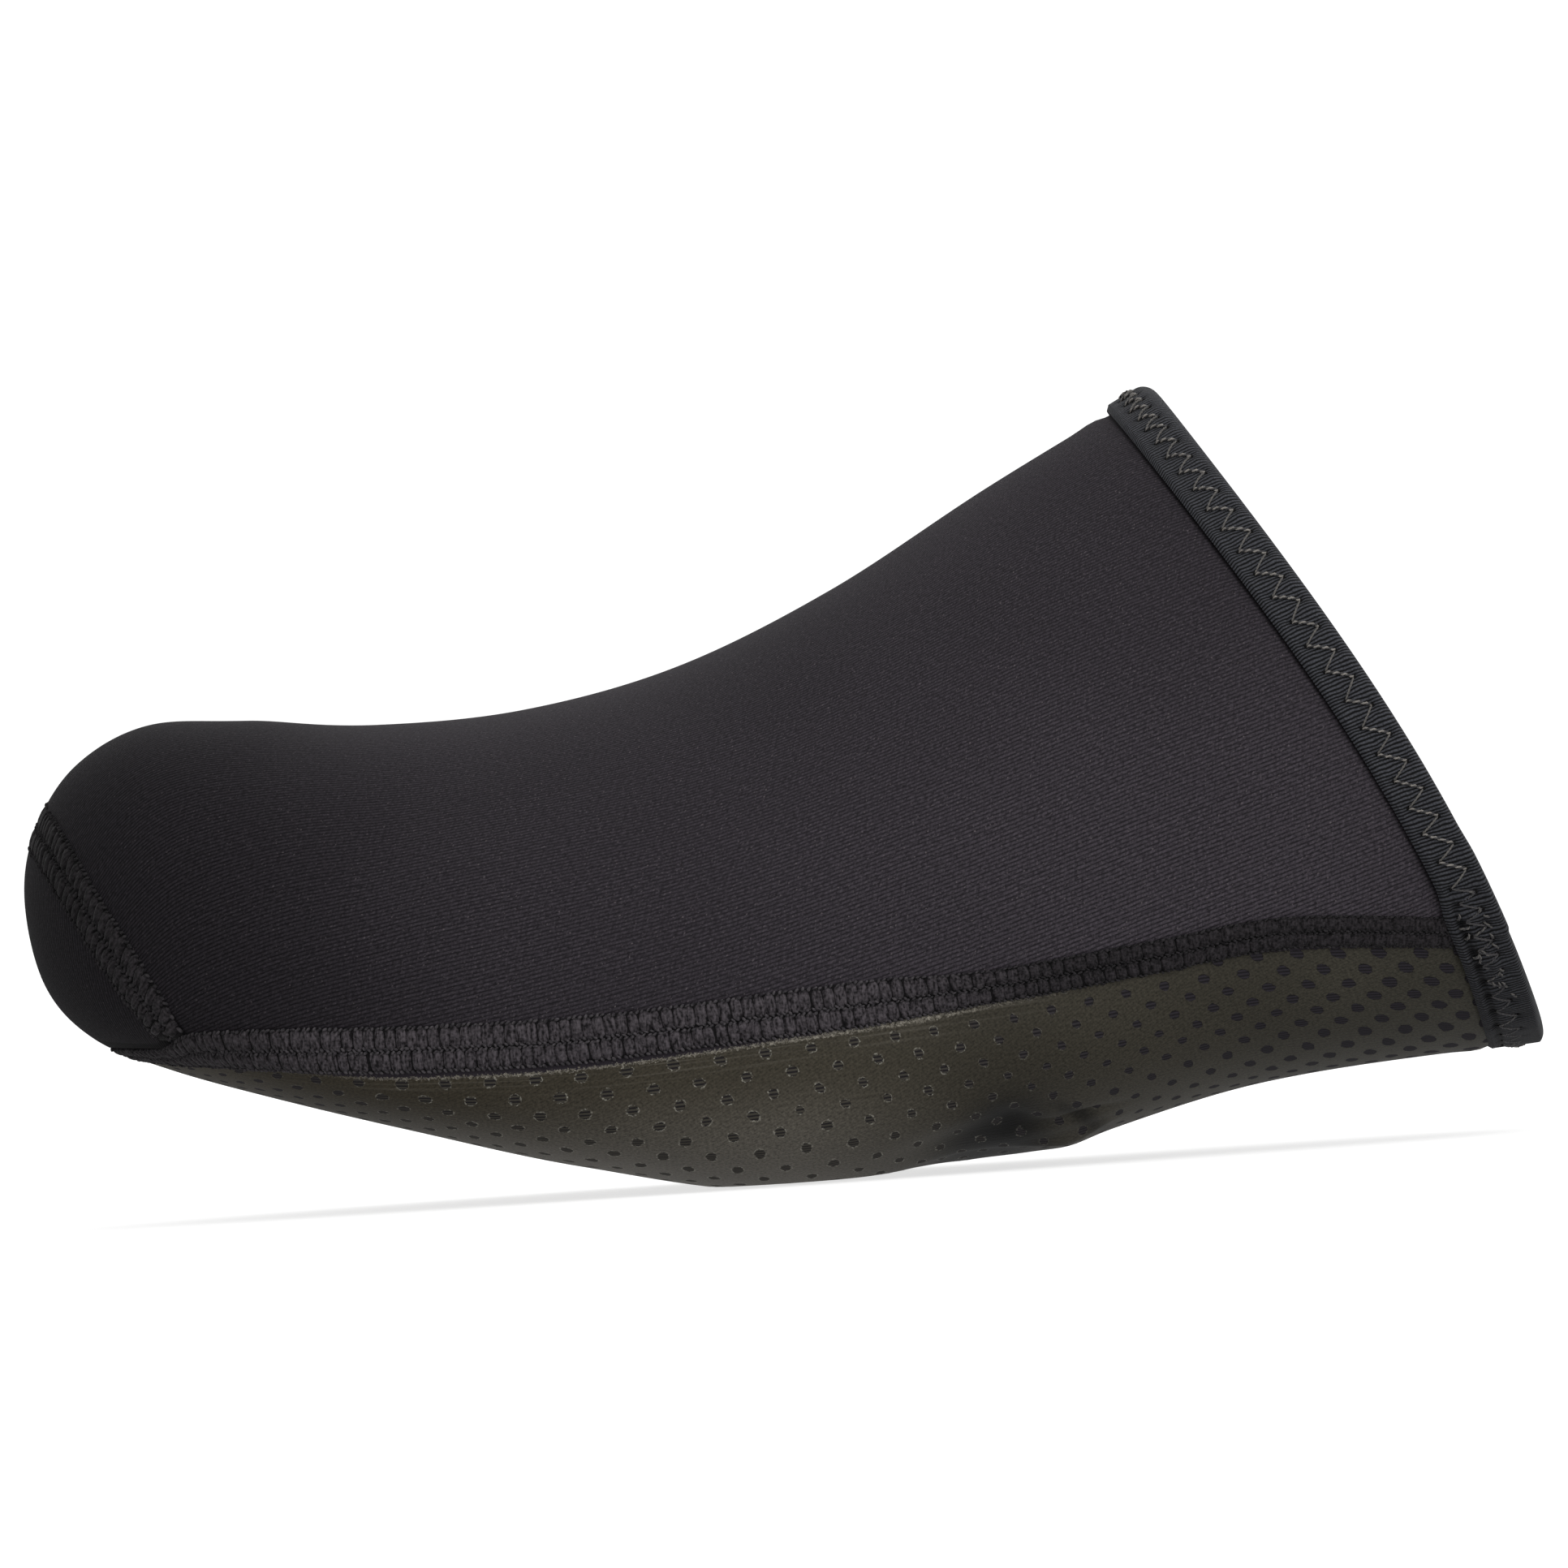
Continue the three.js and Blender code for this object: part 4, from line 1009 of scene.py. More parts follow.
def makeSole():
    piece, along, across = addGrid("solePanel", sole["alongCells"], sole["underCells"])
    reach, angle = panelPlace(along, 1 - across, -1)
    mesh = piece.data
    points = lastPoint(reach, angle)
    writePlaces(mesh, lifted(reach, angle, besideTape(insetOf(reach, angle))))
    edge = seamAngle(reach)
    down = fromTop(reach, angle) - fromTop(reach, edge)
    farEdge = -halfTurn - edge
    downFar = fromTop(reach, farEdge) - fromTop(reach, angle)
    alongSeam = lookUp(alongTable, reach, edge)
    writeCloth(mesh, np.stack([alongSeam, down], axis=-1))
    behind = behindTip(reach)
    # The print's own places: rows lie closer beside the seam and under the arch of the foot
    half = (down + downFar) / 2
    middle, spread, share = sole["archRows"]
    tight = 1 + share * np.exp(-((behind - middle) / spread) ** 2)
    toHalf = np.interp(half, rowDistances, rowPlaces)
    fromNear = np.interp(down, rowDistances, rowPlaces)
    fromFar = 2 * toHalf - np.interp(downFar, rowDistances, rowPlaces)
    writeAttribute(mesh, "rowPlace", tight * np.where(down < half, fromNear, fromFar))
    start, share = sole["rearColumns"]
    writeAttribute(mesh, "columnPlace", alongSeam + share * np.maximum(alongSeam - start, 0))
    for name in ("dotRadius", "dotRim", "edgeShine", "edgeWidth"):
        writeAttribute(mesh, name, np.interp(behind, sole["stations"], sole[name]))
    edgePlace = np.interp(behind, sole["stations"], sole["edge"])
    writeAttribute(mesh, "fromEdge", np.minimum(down, downFar) - edgePlace)
    writeAttribute(mesh, "fromTrim", insetOf(reach, angle) - tape["width"])
    ahead, aside = fromSlant(points, sole["hollowPlace"], sole["hollowSlant"])
    rearWay, frontWay, high = sole["hollowSize"]
    away = (ahead / np.where(ahead > 0, rearWay, frontWay)) ** 2 + (aside / high) ** 2
    core = np.exp(-away ** 1.6)
    ahead, aside = fromSlant(points, sole["creasePlace"], sole["creaseSlant"])
    long, wide = sole["creaseSize"]
    creased = np.exp(-(ahead / long) ** 2 - (aside / wide) ** 2)
    inside, around, inCrease = sole["shadows"]
    shadow = inside * core + around * np.exp(-away / 7) * (1 - core)
    outer = smooth(*sole["outerSide"], points[:, 1])
    # Painted shadow of the hollow, the cloth round it and the crease, for the film's colour
    writeAttribute(mesh, "hollowShadow", np.maximum(shadow, inCrease * creased) * outer)
    giveWall(piece, walls["sole"], walls["rounding"], "coating", "lining")
    belongs(piece, "sole")


makeUpper()
makeToePanel()
makeSole()
print("panels made")


# The collar as a ring: distance round it from the top, down the outer side first
ringAngles = quarterTurn - np.linspace(0, 2 * math.pi, 1201)
ringPoints = lastPoint(np.ones_like(ringAngles), ringAngles)
ringRun = np.pad(np.cumsum(np.linalg.norm(np.diff(ringPoints, axis=0), axis=-1)), (1, 0))
ringLength = ringRun[-1]
ringUnit = reachLength(np.ones_like(ringAngles), ringAngles)
ringHeight = ringPoints[:, 2]
outerHalf = ringAngles > -quarterTurn


def ringPlaceAt(height):
    order = np.argsort(ringHeight[outerHalf])
    return float(np.interp(height, ringHeight[outerHalf][order], ringRun[outerHalf][order]))


# Points on the collar by distance round it, distance in from its edge and height
def onCollar(run, inset, lift):
    run = np.mod(run, ringLength)
    angle = np.interp(run, ringRun, ringAngles)
    reach = 1 - inset / np.interp(run, ringRun, ringUnit)
    return lifted(reach, angle, lift)


stitching = {
    "threadRadius": 0.14,
    "twistLength": 0.95,
    "ringsPerPly": 10,
    # Each kind of stitch: its thickness, how far it stands up and the finishes of its two plies
    "stitch": (1.0, 0.2, ("thread", "shadedPly")),
    "returnStitch": (0.6, 0.2, ("thinThread", "thinThread")),
    "sunkStitch": (0.75, -0.02, ("sunkShadedThread", "sunkShadedThread")),
    "sunkReturn": (0.6, 0.02, ("sunkShadedThread", "sunkShadedThread")),
    "litReturn": (0.6, 0.02, ("sunkShadedThread", "thinThread")),
    "strayStitch": (0.7, 0.12, ("thinThread", "sunkShadedThread")),
    "sunkHeights": (31, 8),  # between these, on the outer side, the thread has sunk in the tape and has painted shade
    "firstHole": 0.6,
    "holeRadius": 0.55,
    "holeDepth": 0.34,
    "evenHeight": 60,  # the inner side is stitched as the outer side is at this height
    "band": (3.1, 2.0),  # middle and half width of the stitched band, in from the edge
    "puff": 0.05,  # how far the tape swells between the stitches
    "ribLean": 0.42,
    # Heights of the collar's edge above the floor on the outer side, and there the pitch and
    # how far in from the edge the two rows of needle holes lie
    "heights": (8, 16, 18, 24, 30, 34, 80, 91),
    "pitch": (6.5, 3.9, 3.2, 2.2, 2.2, 3.7, 3.77, 3.3),
    "innerRow": (5.0, 5.0, 4.8, 4.6, 4.6, 4.5, 4.35, 4.2),
    "outerRow": (2.6, 2.6, 2.8, 2.4, 2.0, 1.8, 1.85, 2.2),
    # The bartack that ties the tape down: its heights, and its count of lumps and short stitches
    "bartackHeights": (17.5, 30),
    "lumps": 34,
    "shortStitches": 18,
}
overlap = {"low": 23.7, "high": 33.5, "rise": 0.32}


# The needle holes: inner and outer hole of every stitch, going round the collar
def needleHoles():
    run = stitching["firstHole"]
    pairs = []
    while run < ringLength - 1:
        height = np.interp(run, ringRun, ringHeight)
        look = height if run < ringPlaceAt(8.5) else stitching["evenHeight"]
        pitch, inner, outer = (np.interp(look, stitching["heights"], stitching[name])
                               for name in ("pitch", "innerRow", "outerRow"))
        wobble = random.normal(0, 0.08, 4)
        pairs.append(((run + wobble[0], inner + wobble[1]),
                      (run + pitch / 2 + wobble[2], outer + wobble[3])))
        run += pitch * (1 + random.normal(0, 0.03))
    return np.array(pairs)


holes = needleHoles()
bartackEnds = sorted(ringPlaceAt(height) for height in stitching["bartackHeights"])
bartackLumps = np.column_stack([
    random.uniform(*bartackEnds, stitching["lumps"]),
    random.uniform(1.8, 4.9, stitching["lumps"]),
    random.normal(0, 0.17, stitching["lumps"]),
])


# How far the tape stands above its plain section. Its end lies over its start low on the
# outer side, and it climbs over both ends of the sole seam.
def tapeRise(run, inset):
    low, high = ringPlaceAt(overlap["low"]), ringPlaceAt(overlap["high"])
    rise = overlap["rise"] * smooth(low + 0.15, low - 0.15, run) * smooth(high - 4, high + 1, run)
    for seamEnd in (seamAngles[-1], -halfTurn - seamAngles[-1]):
        crossingRun = np.interp(-seamEnd, -ringAngles, ringRun)
        climb = tape["seamClimb"] * np.exp(-((run - crossingRun) / 2.4) ** 2)
        rise = rise + climb * smooth(1.5, 3.5, inset)
    height = np.interp(run, ringRun, ringHeight)
    return rise - tape["flattened"] * smooth(*tape["flatHeights"], height)


# Section of the folded tape from its outer edge over the fold to its inner edge
def tapeSection(share, fold):
    flat = tape["width"] - fold
    middle = (tape["lift"] + tape["inside"]) / 2
    half = (tape["lift"] - tape["inside"]) / 2
    arc = halfTurn * (fold + half) / 2
    total = 2 * flat + arc
    distance = share * total
    turn = np.clip((distance - flat) / arc, 0, 1) * halfTurn
    onFold = fold * (1 - np.sin(turn))
    inset = np.where(distance < flat, tape["width"] - distance,
                     np.where(distance > flat + arc, fold + distance - flat - arc, onFold))
    lift = middle + half * np.cos(turn)
    return inset, lift, distance


def makeBinding():
    piece, around, share = addGrid("collarBinding", 620, 54)
    run = around * ringLength
    height = np.interp(run, ringRun, ringHeight)
    fold = np.interp(height, tape["foldHeights"], tape["foldDepths"])
    inset, lift, distance = tapeSection(share, fold)
    outside = lift > -1
    onOuter = smooth(ringPlaceAt(8) + 1, ringPlaceAt(8), run)
    low, high = tape["ridgeHeights"]
    ridge = np.where(outside, smooth(high, low, height) * onOuter, 0)
    # The cut edges press into the cloth
    pressed = 0.55 * smooth(tape["width"] - 0.55, tape["width"], inset)
    lift = lift + np.where(outside, -pressed, pressed)
    # The stitches pull the tape down at each hole, and it puffs up between them
    flatHoles = holes.reshape(-1, 2)
    pull = np.zeros_like(lift)
    for hole in flatHoles:
        gapRound = np.abs(run - hole[0])
        near = (gapRound < 2.2) & outside
        spread = ((run[near] - hole[0]) / stitching["holeRadius"]) ** 2
        spread += ((inset[near] - hole[1]) / stitching["holeRadius"]) ** 2
        pull[near] = np.maximum(pull[near], np.exp(-spread))
    gather = np.interp(run, flatHoles[::2, 0], np.arange(len(flatHoles) // 2)) * 2 * math.pi
    middle, wide = stitching["band"]
    stitched = np.exp(-((inset - middle) / wide) ** 2)
    puff = stitching["puff"] * np.cos(gather + 1.2) * stitched
    taut = 1 - 0.9 * smooth(*tape["flatHeights"], height)  # pressed flat under the shoe
    lift = lift + np.where(outside, taut * (puff - stitching["holeDepth"] * pull), 0)
    ridgeGroove = ridge * np.exp(-((inset - tape["ridgeFrom"]) / 0.3) ** 2)
    lift = lift - 0.3 * ridgeGroove
    # Painted shade in the needle holes and the ridge's groove, taken by the tape's colour
    writeAttribute(piece.data, "pitShade", np.clip(0.45 * pull + 0.7 * ridgeGroove, 0, 0.85))
    inset = inset + tape["ridgeWide"] * ridge * smooth(3.5, tape["width"], inset)
    # Small lumps where the bartack has crumpled the tape
    for place, across, tall in bartackLumps:
        near = outside & (np.abs(run - place) < 2.5)
        spread = ((run[near] - place) / 0.75) ** 2 + ((inset[near] - across) / 0.55) ** 2
        lift[near] += tall * np.exp(-spread)
    rise = tapeRise(run, inset)
    lift = lift + rise * smooth(-1.3, tape["lift"], lift)
    inset = inset - 0.6 * np.maximum(rise, 0) * smooth(2.0, 0, inset)
    points = onCollar(run, inset, lift)
    writePlaces(piece.data, points)
    # Ribs lean where the stitches pull them
    lean = stitching["ribLean"] * np.sin(gather) * stitched * (inset - middle) / 2.4
    writeCloth(piece.data, np.stack([run + lean, distance], axis=-1))
    mergeDoubles(piece, 0.02 * metre)
    giveWall(piece, tape["thickness"] - 0.1, tape["rounding"], "elastic", "elastic")
    belongs(piece, "collar_binding")


makeBinding()
print("binding made")


# Corners and faces of a model that was made with Blender's own tools, then removed
def takeModel(piece):
    mesh = piece.data
    corners = np.array([vertex.co for vertex in mesh.vertices])
    faces = [tuple(face.vertices) for face in mesh.polygons]
    bpy.data.objects.remove(piece)
    return corners, faces


# A soft cushion of side 1: a cube with its edges rounded off
def modelCushion():
    bpy.ops.object.select_all(action="DESELECT")
    bpy.ops.mesh.primitive_cube_add(size=1)
    bpy.ops.object.mode_set(mode="EDIT")
    bpy.ops.mesh.select_all(action="SELECT")
    bpy.ops.mesh.bevel(offset=0.33, segments=2, affect="EDGES", clamp_overlap=True)
    bpy.ops.object.mode_set(mode="OBJECT")
    return takeModel(bpy.context.object)


def modelLoop():
    bpy.ops.object.select_all(action="DESELECT")
    bpy.ops.mesh.primitive_uv_sphere_add(segments=8, ring_count=5, radius=0.5)
    corners, faces = takeModel(bpy.context.object)
    return corners, sorted(faces)  # Blender gives a sphere's faces in an order that varies


# One ply of thread: a tube from 0 to 1 along X with rings close enough to twist
def modelPly(rings):
    bpy.ops.object.select_all(action="DESELECT")
    bpy.ops.mesh.primitive_cylinder_add(vertices=7, radius=1, depth=1, end_fill_type="TRIFAN",
                                        location=(0.5, 0, 0), rotation=(0, quarterTurn, 0))
    piece = bpy.context.object
    bpy.ops.object.transform_apply(location=True, rotation=True, scale=True)
    bpy.ops.object.mode_set(mode="EDIT")
    for step in range(1, rings):
        bpy.ops.mesh.select_all(action="SELECT")
        bpy.ops.mesh.bisect(plane_co=(step / rings, 0, 0), plane_no=(1, 0, 0))
    bpy.ops.object.mode_set(mode="OBJECT")
    return takeModel(piece)


# Copies of a model joined in one mesh. Each copy has a middle, a size and a turn on the cloth.
def spreadCopies(model, middles, sizes, turns):
    corners, faces = model
    scaled = corners[None, :, :] * sizes[:, None, :]
    cos, sin = np.cos(turns)[:, None], np.sin(turns)[:, None]
    turned = np.stack([scaled[..., 0] * cos - scaled[..., 1] * sin,
                       scaled[..., 0] * sin + scaled[..., 1] * cos, scaled[..., 2]], axis=-1)
    places = (turned + middles[:, None, :]).reshape(-1, 3)
    allFaces = [tuple(corner + copy * len(corners) for corner in face)
                for copy in range(len(middles)) for face in faces]
    return places, allFaces


def joinedMesh(name, points, faces, coordinates, finishNames, slotNumbers=None):
    mesh = bpy.data.meshes.new(name)
    mesh.from_pydata(toRow(points).tolist(), [], faces)
    writeCloth(mesh, coordinates)
    mesh.polygons.foreach_set("use_smooth", [True] * len(mesh.polygons))
    if slotNumbers is not None:
        mesh.polygons.foreach_set("material_index", slotNumbers)
    for finish in finishNames:
        mesh.materials.append(finishes[finish])
    piece = bpy.data.objects.new(name, mesh)
    bpy.context.scene.collection.objects.link(piece)
    bpy.context.view_layer.objects.active = piece
    piece.select_set(True)
    bpy.ops.object.mode_set(mode="EDIT")
    bpy.ops.mesh.select_all(action="SELECT")
    bpy.ops.mesh.normals_make_consistent(inside=False)
    bpy.ops.object.mode_set(mode="OBJECT")
    piece.select_set(False)
    return piece


# A strip of the last beside a line of reach and angle, so that things can be laid on it by
# distance along the line, distance across it and height
def seamStrip(reach, angle, widths, shifts):
    offsets = np.linspace(-3.6, 3.6, 19)
    ahead = unit(np.gradient(lastPoint(reach, angle), axis=0))
    across = unit(np.cross(outward(reach, angle), ahead))
    steps = np.linalg.norm(np.diff(lastPoint(reach, angle), axis=0), axis=-1)
    shape = (len(reach), len(offsets))
    sideReach, sideAngle = walk(
        np.broadcast_to(reach[:, None], shape), np.broadcast_to(angle[:, None], shape),
        across[:, None, :], offsets[None, :] * widths[:, None] + shifts[:, None])
    return {
        "run": np.pad(np.cumsum(steps), (1, 0)),
        "behind": behindTip(reach),
        "offsets": offsets,
        "points": lifted(sideReach, sideAngle, np.zeros(shape)),
        "normals": outward(sideReach, sideAngle),
        "reach": sideReach,
        "angle": sideAngle,
    }


def onStrip(strip, values, run, across):
    i = np.interp(run, strip["run"], np.arange(len(strip["run"])))
    step = strip["offsets"][1] - strip["offsets"][0]
    return gridValue(values, i, (across - strip["offsets"][0]) / step)


def layOn(strip, places):
    points = onStrip(strip, strip["points"], places[:, 0], places[:, 1])
    normals = onStrip(strip, strip["normals"], places[:, 0], places[:, 1])
    points = points + normals * places[:, 2:3]
    points[:, 2] = np.maximum(points[:, 2], 0)
    return points


# The stretches of a strip that hold the seam, at a distance across it
def stretch(strip, clear, across):
    runs = np.linspace(0, strip["run"][-1], 1600)
    free = onStrip(strip, clear, runs, np.full_like(runs, across)) > 0
    inside = runs[free]
    return inside[0], inside[-1]


def copiesOn(strip, name, finish, model, middles, sizes, turns):
    places, faces = spreadCopies(model, np.vstack(middles), np.vstack(sizes), np.concatenate(turns))
    return joinedMesh(name, layOn(strip, places), faces, places[:, :2], [finish])


# A flatlock seam: a padded bed, near black as painted shade in the gaps, two rows of yarn
# bundles across it and small loops where the needles catch them
def makeSeam(name, node, strip, clear, closeness, slants):
    half = seams["halfWidth"]
    shadedBed, along, share = addGrid(name, int(strip["run"][-1] / 0.9), 16)
    across = between(-half - 0.1, half, share)
    ends = np.array([stretch(strip, clear, value) for value in np.unique(across)])
    starts = np.interp(across, np.unique(across), ends[:, 0])
    stops = np.interp(across, np.unique(across), ends[:, 1])
    run = between(starts, stops, along)
    hump = np.sqrt(np.maximum(1 - ((np.abs(across) - half / 2) / (half / 2 + 0.12)) ** 2, 0))
    places = np.stack([run, across, 0.05 + seams["bedLift"] * hump], axis=-1)
    writePlaces(shadedBed.data, layOn(strip, places))
    writeCloth(shadedBed.data, np.stack([run, across], axis=-1))
    giveWall(shadedBed, seams["bedWall"], 0, "shadedBed", "shadedBed")
    shadedBed.select_set(False)

    middles, sizes, turns = [], [], []
    # Each row of bundles has its middle, its width, its phase and its slant
    rows = ((-half / 2, half * 0.98, 0.0, slants[0]), (half / 2, half * 0.92, 0.45, slants[1]))
    for middle, wide, phase, slant in rows:
        first, final = stretch(strip, clear, middle)
        count = int((final - first) / seams["bundlePitch"])
        uneven = phase + random.normal(0, 0.06, count)
        runs = first + (np.arange(count) + uneven) * seams["bundlePitch"]
        runs = runs[(runs > first + 0.5) & (runs < final - 0.5)]
        count = len(runs)
        middles.append(np.stack([runs, middle + random.normal(0, 0.04, count),
                                 seams["bundleLift"] + random.normal(0, 0.03, count)], axis=-1))
        start, stop, looseness = seams["looseRear"]
        loose = looseness * smooth(start, stop, np.interp(runs, strip["run"], strip["behind"]))
        sizes.append(np.stack([seams["bundlePitch"] * (random.normal(closeness, 0.04, count) + loose),
                               wide * random.normal(1, 0.02, count),
                               seams["bundleHeight"] * random.normal(1, 0.06, count)], axis=-1))
        turns.append(random.normal(slant, 0.05, count))
    bundles = copiesOn(strip, name + "Bundles", "bundle", modelCushion(), middles, sizes, turns)

    middles, sizes, turns = [], [], []
    # Each line of loops has its place across the seam and its lean
    for middle, lean in ((-half, 0.7), (-0.16, -0.7), (0.2, 0.6), (half - 0.08, -0.7)):
        first, final = stretch(strip, clear, middle)
        count = int((final - first) / seams["loopPitch"])
        runs = first + (np.arange(count) + 0.5) * seams["loopPitch"] + random.normal(0, 0.05, count)
        middles.append(np.stack([runs, middle + random.normal(0, 0.05, count),
                                 seams["loopLift"] + random.normal(0, 0.04, count)], axis=-1))
        sizes.append(np.stack([random.normal(size, change, count)
                               for size, change in seams["loopSize"]], axis=-1))
        turns.append(lean + random.normal(0, 0.2, count))
    loops = copiesOn(strip, name + "Loops", "knot", modelLoop(), middles, sizes, turns)
    belongs(shadedBed, node)
    belongs(bundles)
    belongs(loops)


# The sole seam's middle line, from the outer end of the collar round the toe to the inner end
def makeSoleSeam():
    sideReach = np.linspace(0.995, junctionReach, 260)
    underAngle = between(junctionAngle, -halfTurn - junctionAngle, np.linspace(0, 1, 90)[1:-1])
    underReach = toeEdge(underAngle)
    reach = np.concatenate([sideReach, underReach, sideReach[::-1]])
    outer = seamAngle(sideReach)
    angle = np.concatenate([outer, underAngle, -halfTurn - outer[::-1]])
    start, stop, share = seams["toeTaper"]
    under = smooth(start, stop, behindTip(reach))
    shifts = seams["underToe"] * under + soleSeamShift(reach)
    strip = seamStrip(reach, angle, seamTaper(reach) * between(1, share, under), shifts)
    strip["points"] = strip["points"] - seams["underSink"] * strip["normals"] * under[:, None, None]
    inset = insetOf(strip["reach"], strip["angle"])
    makeSeam("soleSeam", "sole_seam", strip, inset - tape["width"] + 0.25, 1.04, (0.05, 0.08))


# The toe seam over the toe, which stops beside the sole seam
def makeToeSeam():
    angle = between(junctionAngle, halfTurn - junctionAngle, np.linspace(0, 1, 260))
    widths = np.full_like(angle, seams["toeWidth"])
    strip = seamStrip(toeEdge(angle), angle, widths, toeSeamShift(angle))
    height = aboveSoleSeam(lastPoint(strip["reach"], strip["angle"]))
    low, over = seams["toeSink"]
    sunk = low + over * np.maximum(np.sin(angle), 0) ** 2
    strip["points"] = strip["points"] - sunk[:, None, None] * strip["normals"]
    makeSeam("toeSeam", "toe_seam", strip, height - 1.2, 0.98, (0.4, 0.45))


makeSoleSeam()
makeToeSeam()
print("seams made")


# Zigzag stitches in twisted two-ply thread, between the needle holes
def makeZigzag():
    corners, faces = modelPly(stitching["ringsPerPly"])
    sunkTop, sunkFoot = (ringPlaceAt(height) for height in stitching["sunkHeights"])
    legs = []
    for number in range(len(holes) - 1):
        inner, outer = holes[number]
        nextInner = holes[number + 1][0]
        kinds = ("stitch", "returnStitch")
        if sunkTop < inner[0] < sunkFoot:
            kinds = ("sunkStitch", "litReturn" if number % 3 == 0 else "sunkReturn")
        legs.append((inner, outer, *stitching[kinds[0]]))
        legs.append((outer, nextInner, *stitching[kinds[1]]))
    # Short stray stitches of the bartack
    for number in range(stitching["shortStitches"]):
        start = np.array([random.uniform(*bartackEnds), random.uniform(2.2, 4.9)])
        turn = random.normal(0.5, 0.9)
        stop = start + random.uniform(0.7, 1.6) * np.array([math.cos(turn), math.sin(turn)])
        legs.append((start, stop, *stitching["strayStitch"]))
    threads = ["thread", "shadedPly", "thinThread", "sunkShadedThread"]
    allPoints, allFaces, allCloth, slotNumbers = [], [], [], []
    for start, stop, thick, proud, plies in legs:
        run = between(start[0], stop[0], corners[:, 0])
        inset = between(start[1], stop[1], corners[:, 0])
        length = math.hypot(stop[0] - start[0], stop[1] - start[1])
        sideWay = np.array([-(stop[1] - start[1]), stop[0] - start[0]]) / length
        radius = stitching["threadRadius"] * thick
        rise = np.sin(np.clip(corners[:, 0], 0.001, 0.999) * math.pi) ** 0.6
        for ply in (0, 1):
            slotNumbers += [threads.index(plies[ply])] * len(faces)
            twist = ply * halfTurn + 2 * math.pi * corners[:, 0] * length / stitching["twistLength"]
            aside = radius * (corners[:, 1] + 0.85 * np.cos(twist))
            up = radius * (corners[:, 2] + 0.85 * np.sin(twist))
            height = tape["lift"] + proud * rise - 0.28 * (1 - rise) + up
            before = len(allPoints) * len(corners)
            allFaces += [tuple(corner + before for corner in face) for face in faces]
            place = (run + aside * sideWay[0], inset + aside * sideWay[1], height)
            allPoints.append(np.stack(place, axis=-1))
            allCloth.append(np.stack([corners[:, 0] * length, aside], axis=-1))
    places = np.vstack(allPoints)
    places[:, 2] += tapeRise(places[:, 0], places[:, 1])
    points = onCollar(places[:, 0], places[:, 1], places[:, 2])
    piece = joinedMesh("zigzagThread", points, allFaces, np.vstack(allCloth), threads, slotNumbers)
    belongs(piece)


# Painted shadow in every needle hole: a dark blob down in each hole, set where the two threads lock
def makeNeedleHoleShadows():
    middles = np.column_stack([holes.reshape(-1, 2), np.full(holes.size // 2, tape["lift"] - 0.2)])
    count = len(middles)
    sizes = np.stack([random.normal(0.62, 0.05, count), random.normal(0.5, 0.05, count),
                      np.full(count, 0.22)], axis=-1)
    places, faces = spreadCopies(modelLoop(), middles, sizes, random.uniform(0, 3, count))
    places[:, 2] += tapeRise(places[:, 0], places[:, 1])
    points = onCollar(places[:, 0], places[:, 1], places[:, 2])
    piece = joinedMesh("needleHoleShadows", points, faces, places[:, :2], ["shadedBed"])
    belongs(piece)


makeNeedleHoleShadows()
makeZigzag()
print("zigzag made")


studio = {
    "aim": (1.6, 0, 46.8),  # the photo's centre on the cover, in the row's frame
    "distance": 3500,
    "frameWidth": 185.77,  # what the photo shows across, at the cover's middle plane
    "roll": -4.0,  # degrees, because the cover stands on its sole and the photo shows it tipped
    "floorSize": 60.0,  # metres
    # Soft light from all round, weaker from the toe's side. In front of the camera it is just
    # strong enough for a white ground.
    "lightFromToe": 0.6,
    "lightAhead": 1.2,
    "lightFromCollar": 1.0,
    "lightFromAbove": 0.65,  # shares of that light, from above and from below
    "lightFromBelow": 0.45,
    "floorGlow": 0.7,
    # Place and width in metres, and watts
    "frontSoftbox": ((0.9, -2.2, 1.4), 2.4, 17),
    "rearSoftbox": ((0.5, 2.3, 0.5), 2.0, 5),
}


def makeCamera():
    data = bpy.data.cameras.new("photoCamera")
    data.sensor_width = 36
    data.lens = 36 * studio["distance"] / studio["frameWidth"]
    data.clip_end = 100
    piece = bpy.data.objects.new("photoCamera", data)
    bpy.context.scene.collection.objects.link(piece)
    x, y, z = (value * metre for value in studio["aim"])
    piece.location = (x, y - studio["distance"] * metre, z)
    piece.rotation_mode = "ZYX"  # so that the roll turns the camera about its own line of sight
    piece.rotation_euler = (quarterTurn, 0, math.radians(studio["roll"]))
    bpy.context.scene.camera = piece


def addLight(name, place, size, watts):
    bpy.ops.object.light_add(type="AREA", location=place)
    light = bpy.context.object
    light.name = name
    light.data.shape = "DISK"
    light.data.size = size
    light.data.energy = watts
    aim = np.array([0, 0, 0.04]) - np.array(place)
    flat = math.hypot(aim[0], aim[1])
    light.rotation_euler = (math.atan2(flat, -aim[2]), 0, math.atan2(-aim[0], aim[1]))
    light.select_set(False)


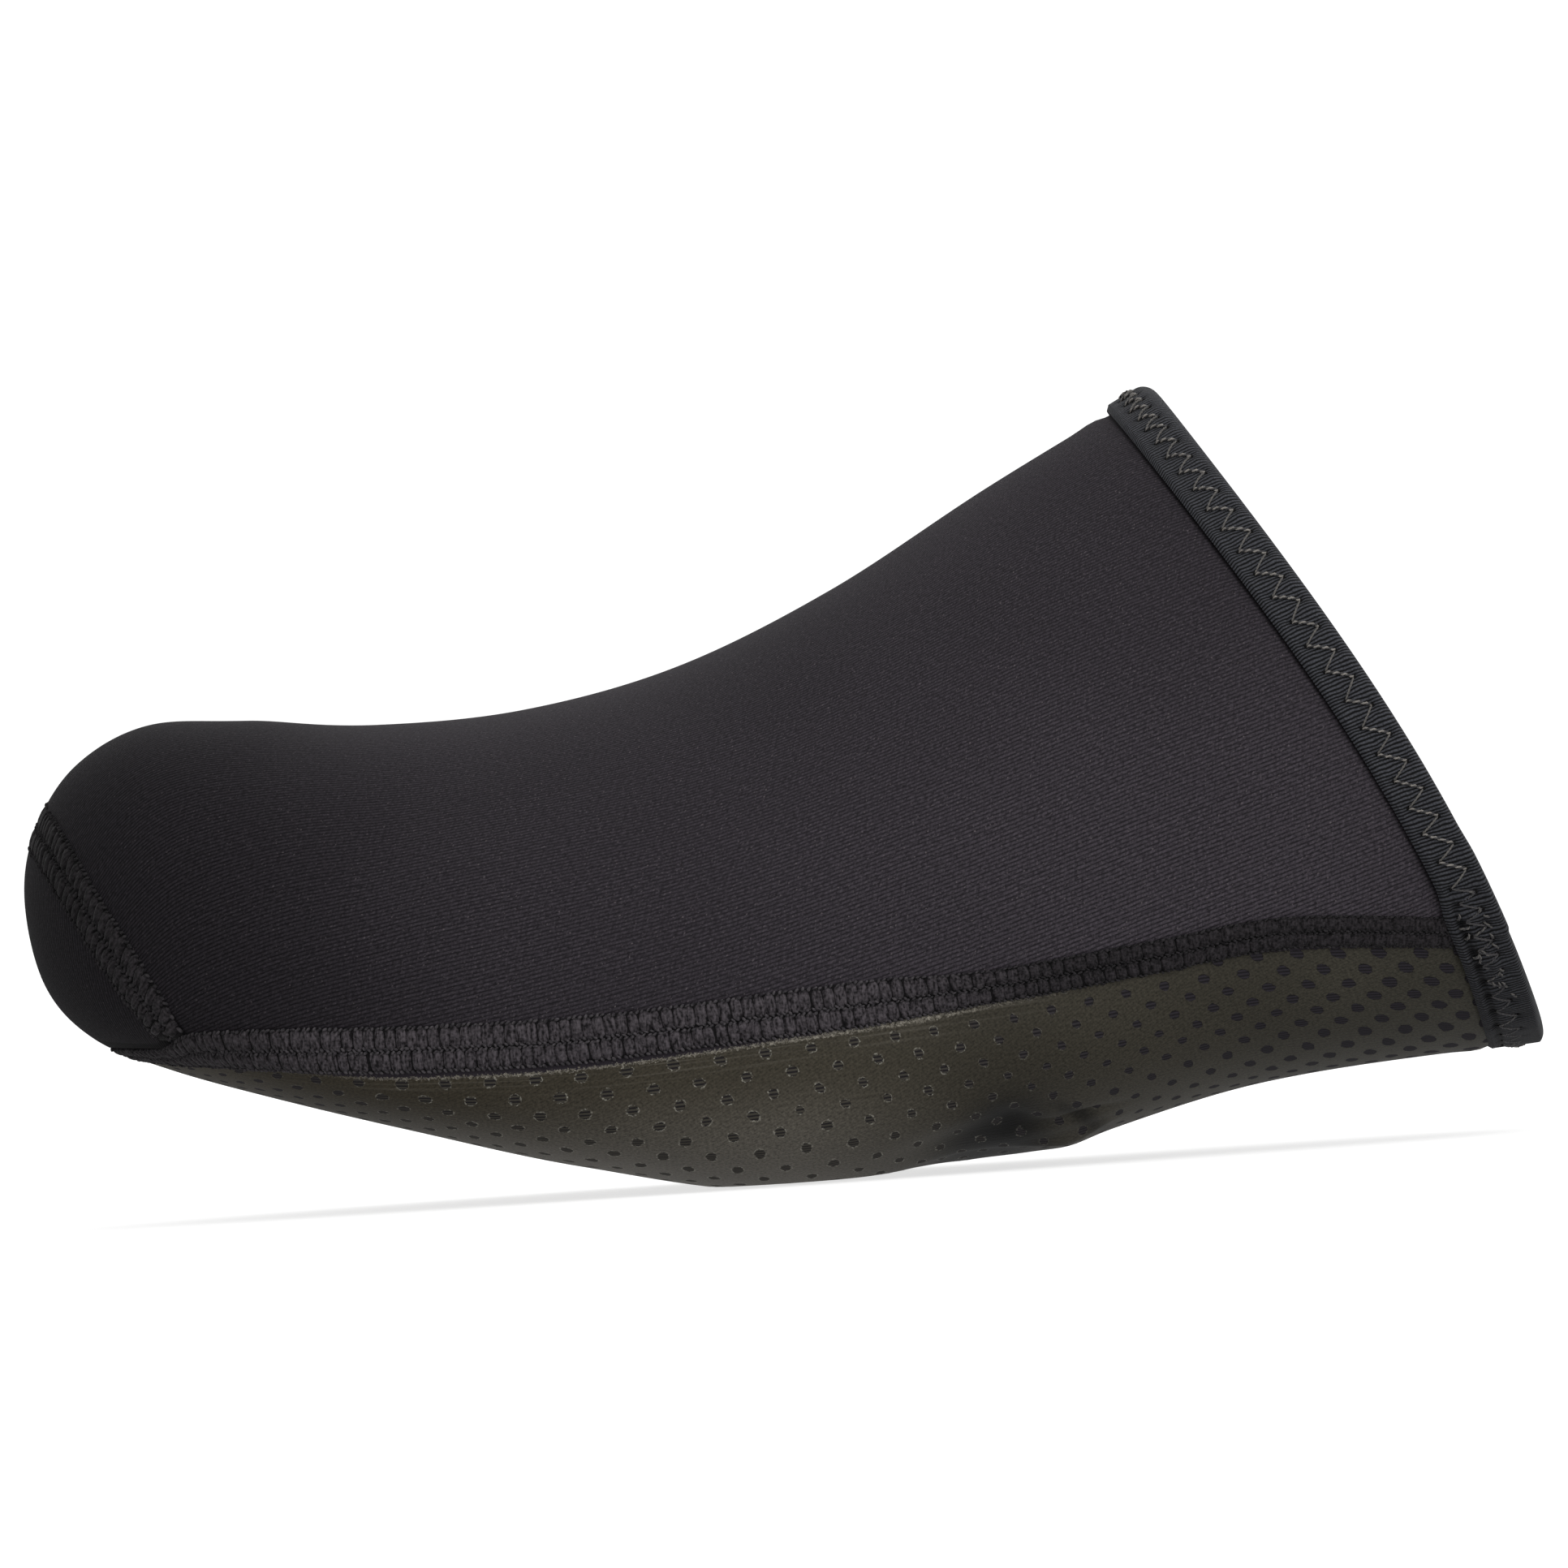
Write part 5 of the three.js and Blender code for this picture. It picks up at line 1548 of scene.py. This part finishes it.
def makeStudio():
    bpy.ops.mesh.primitive_plane_add(size=studio["floorSize"], location=(0, 0, -0.0002))
    floor = bpy.context.object
    floor.name = "paleFloor"
    # White acrylic sheet of a light table, which glows a little and so keeps shadows pale
    material, tree, shader = newMaterial(
        "glowingAcrylic", Roughness=0.9, Emission_Strength=studio["floorGlow"],
        Emission_Color=colour("#ffffff"))
    place = addNode(tree, "TexCoord")
    mottle = addNode(tree, "TexNoise", {"Vector": place.outputs[3], "Scale": 2.0})
    tone = addNode(tree, "Mix", {0: mottle, 6: "#b8b8b8", 7: "#bcbcbc"}, data_type="RGBA")
    tree.links.new(tone.outputs[2], shader.inputs["Base Color"])
    floor.data.materials.append(material)
    floor.visible_diffuse = False
    floor.visible_glossy = False
    world = bpy.data.worlds.new("softStudio")
    world.use_nodes = True
    tree = world.node_tree
    place = addNode(tree, "TexCoord")
    where = addNode(tree, "SeparateXYZ", {0: place})
    toeSide = addNode(tree, "MapRange", {0: where, 1: -0.8, 2: -0.1, 3: studio["lightFromToe"],
                                         4: studio["lightAhead"]}, interpolation_type="SMOOTHSTEP")
    rearSide = addNode(tree, "MapRange", {0: where, 1: 0.1, 2: 0.8, 3: studio["lightAhead"],
                                          4: studio["lightFromCollar"]}, interpolation_type="SMOOTHSTEP")
    level = addNode(tree, "Math", {0: toeSide, 1: rearSide}, operation="MINIMUM")
    overhead = addNode(tree, "MapRange", {0: where.outputs[2], 1: 0.15, 2: 0.9, 3: 1.0,
                                          4: studio["lightFromAbove"]})
    beneath = addNode(tree, "MapRange", {0: where.outputs[2], 1: -0.25, 2: 0.05,
                                         3: studio["lightFromBelow"], 4: 1.0})
    sky = addNode(tree, "Math", {0: level, 1: overhead}, operation="MULTIPLY")
    strength = addNode(tree, "Math", {0: sky, 1: beneath}, operation="MULTIPLY")
    tree.links.new(strength.outputs[0], tree.nodes["Background"].inputs["Strength"])
    tree.nodes["Background"].inputs["Color"].default_value = colour("#ffffff")
    bpy.context.scene.world = world
    bpy.context.scene.view_settings.view_transform = "Standard"
    for name in ("frontSoftbox", "rearSoftbox"):
        addLight(name, *studio[name])


makeCamera()
makeStudio()
print("studio made")
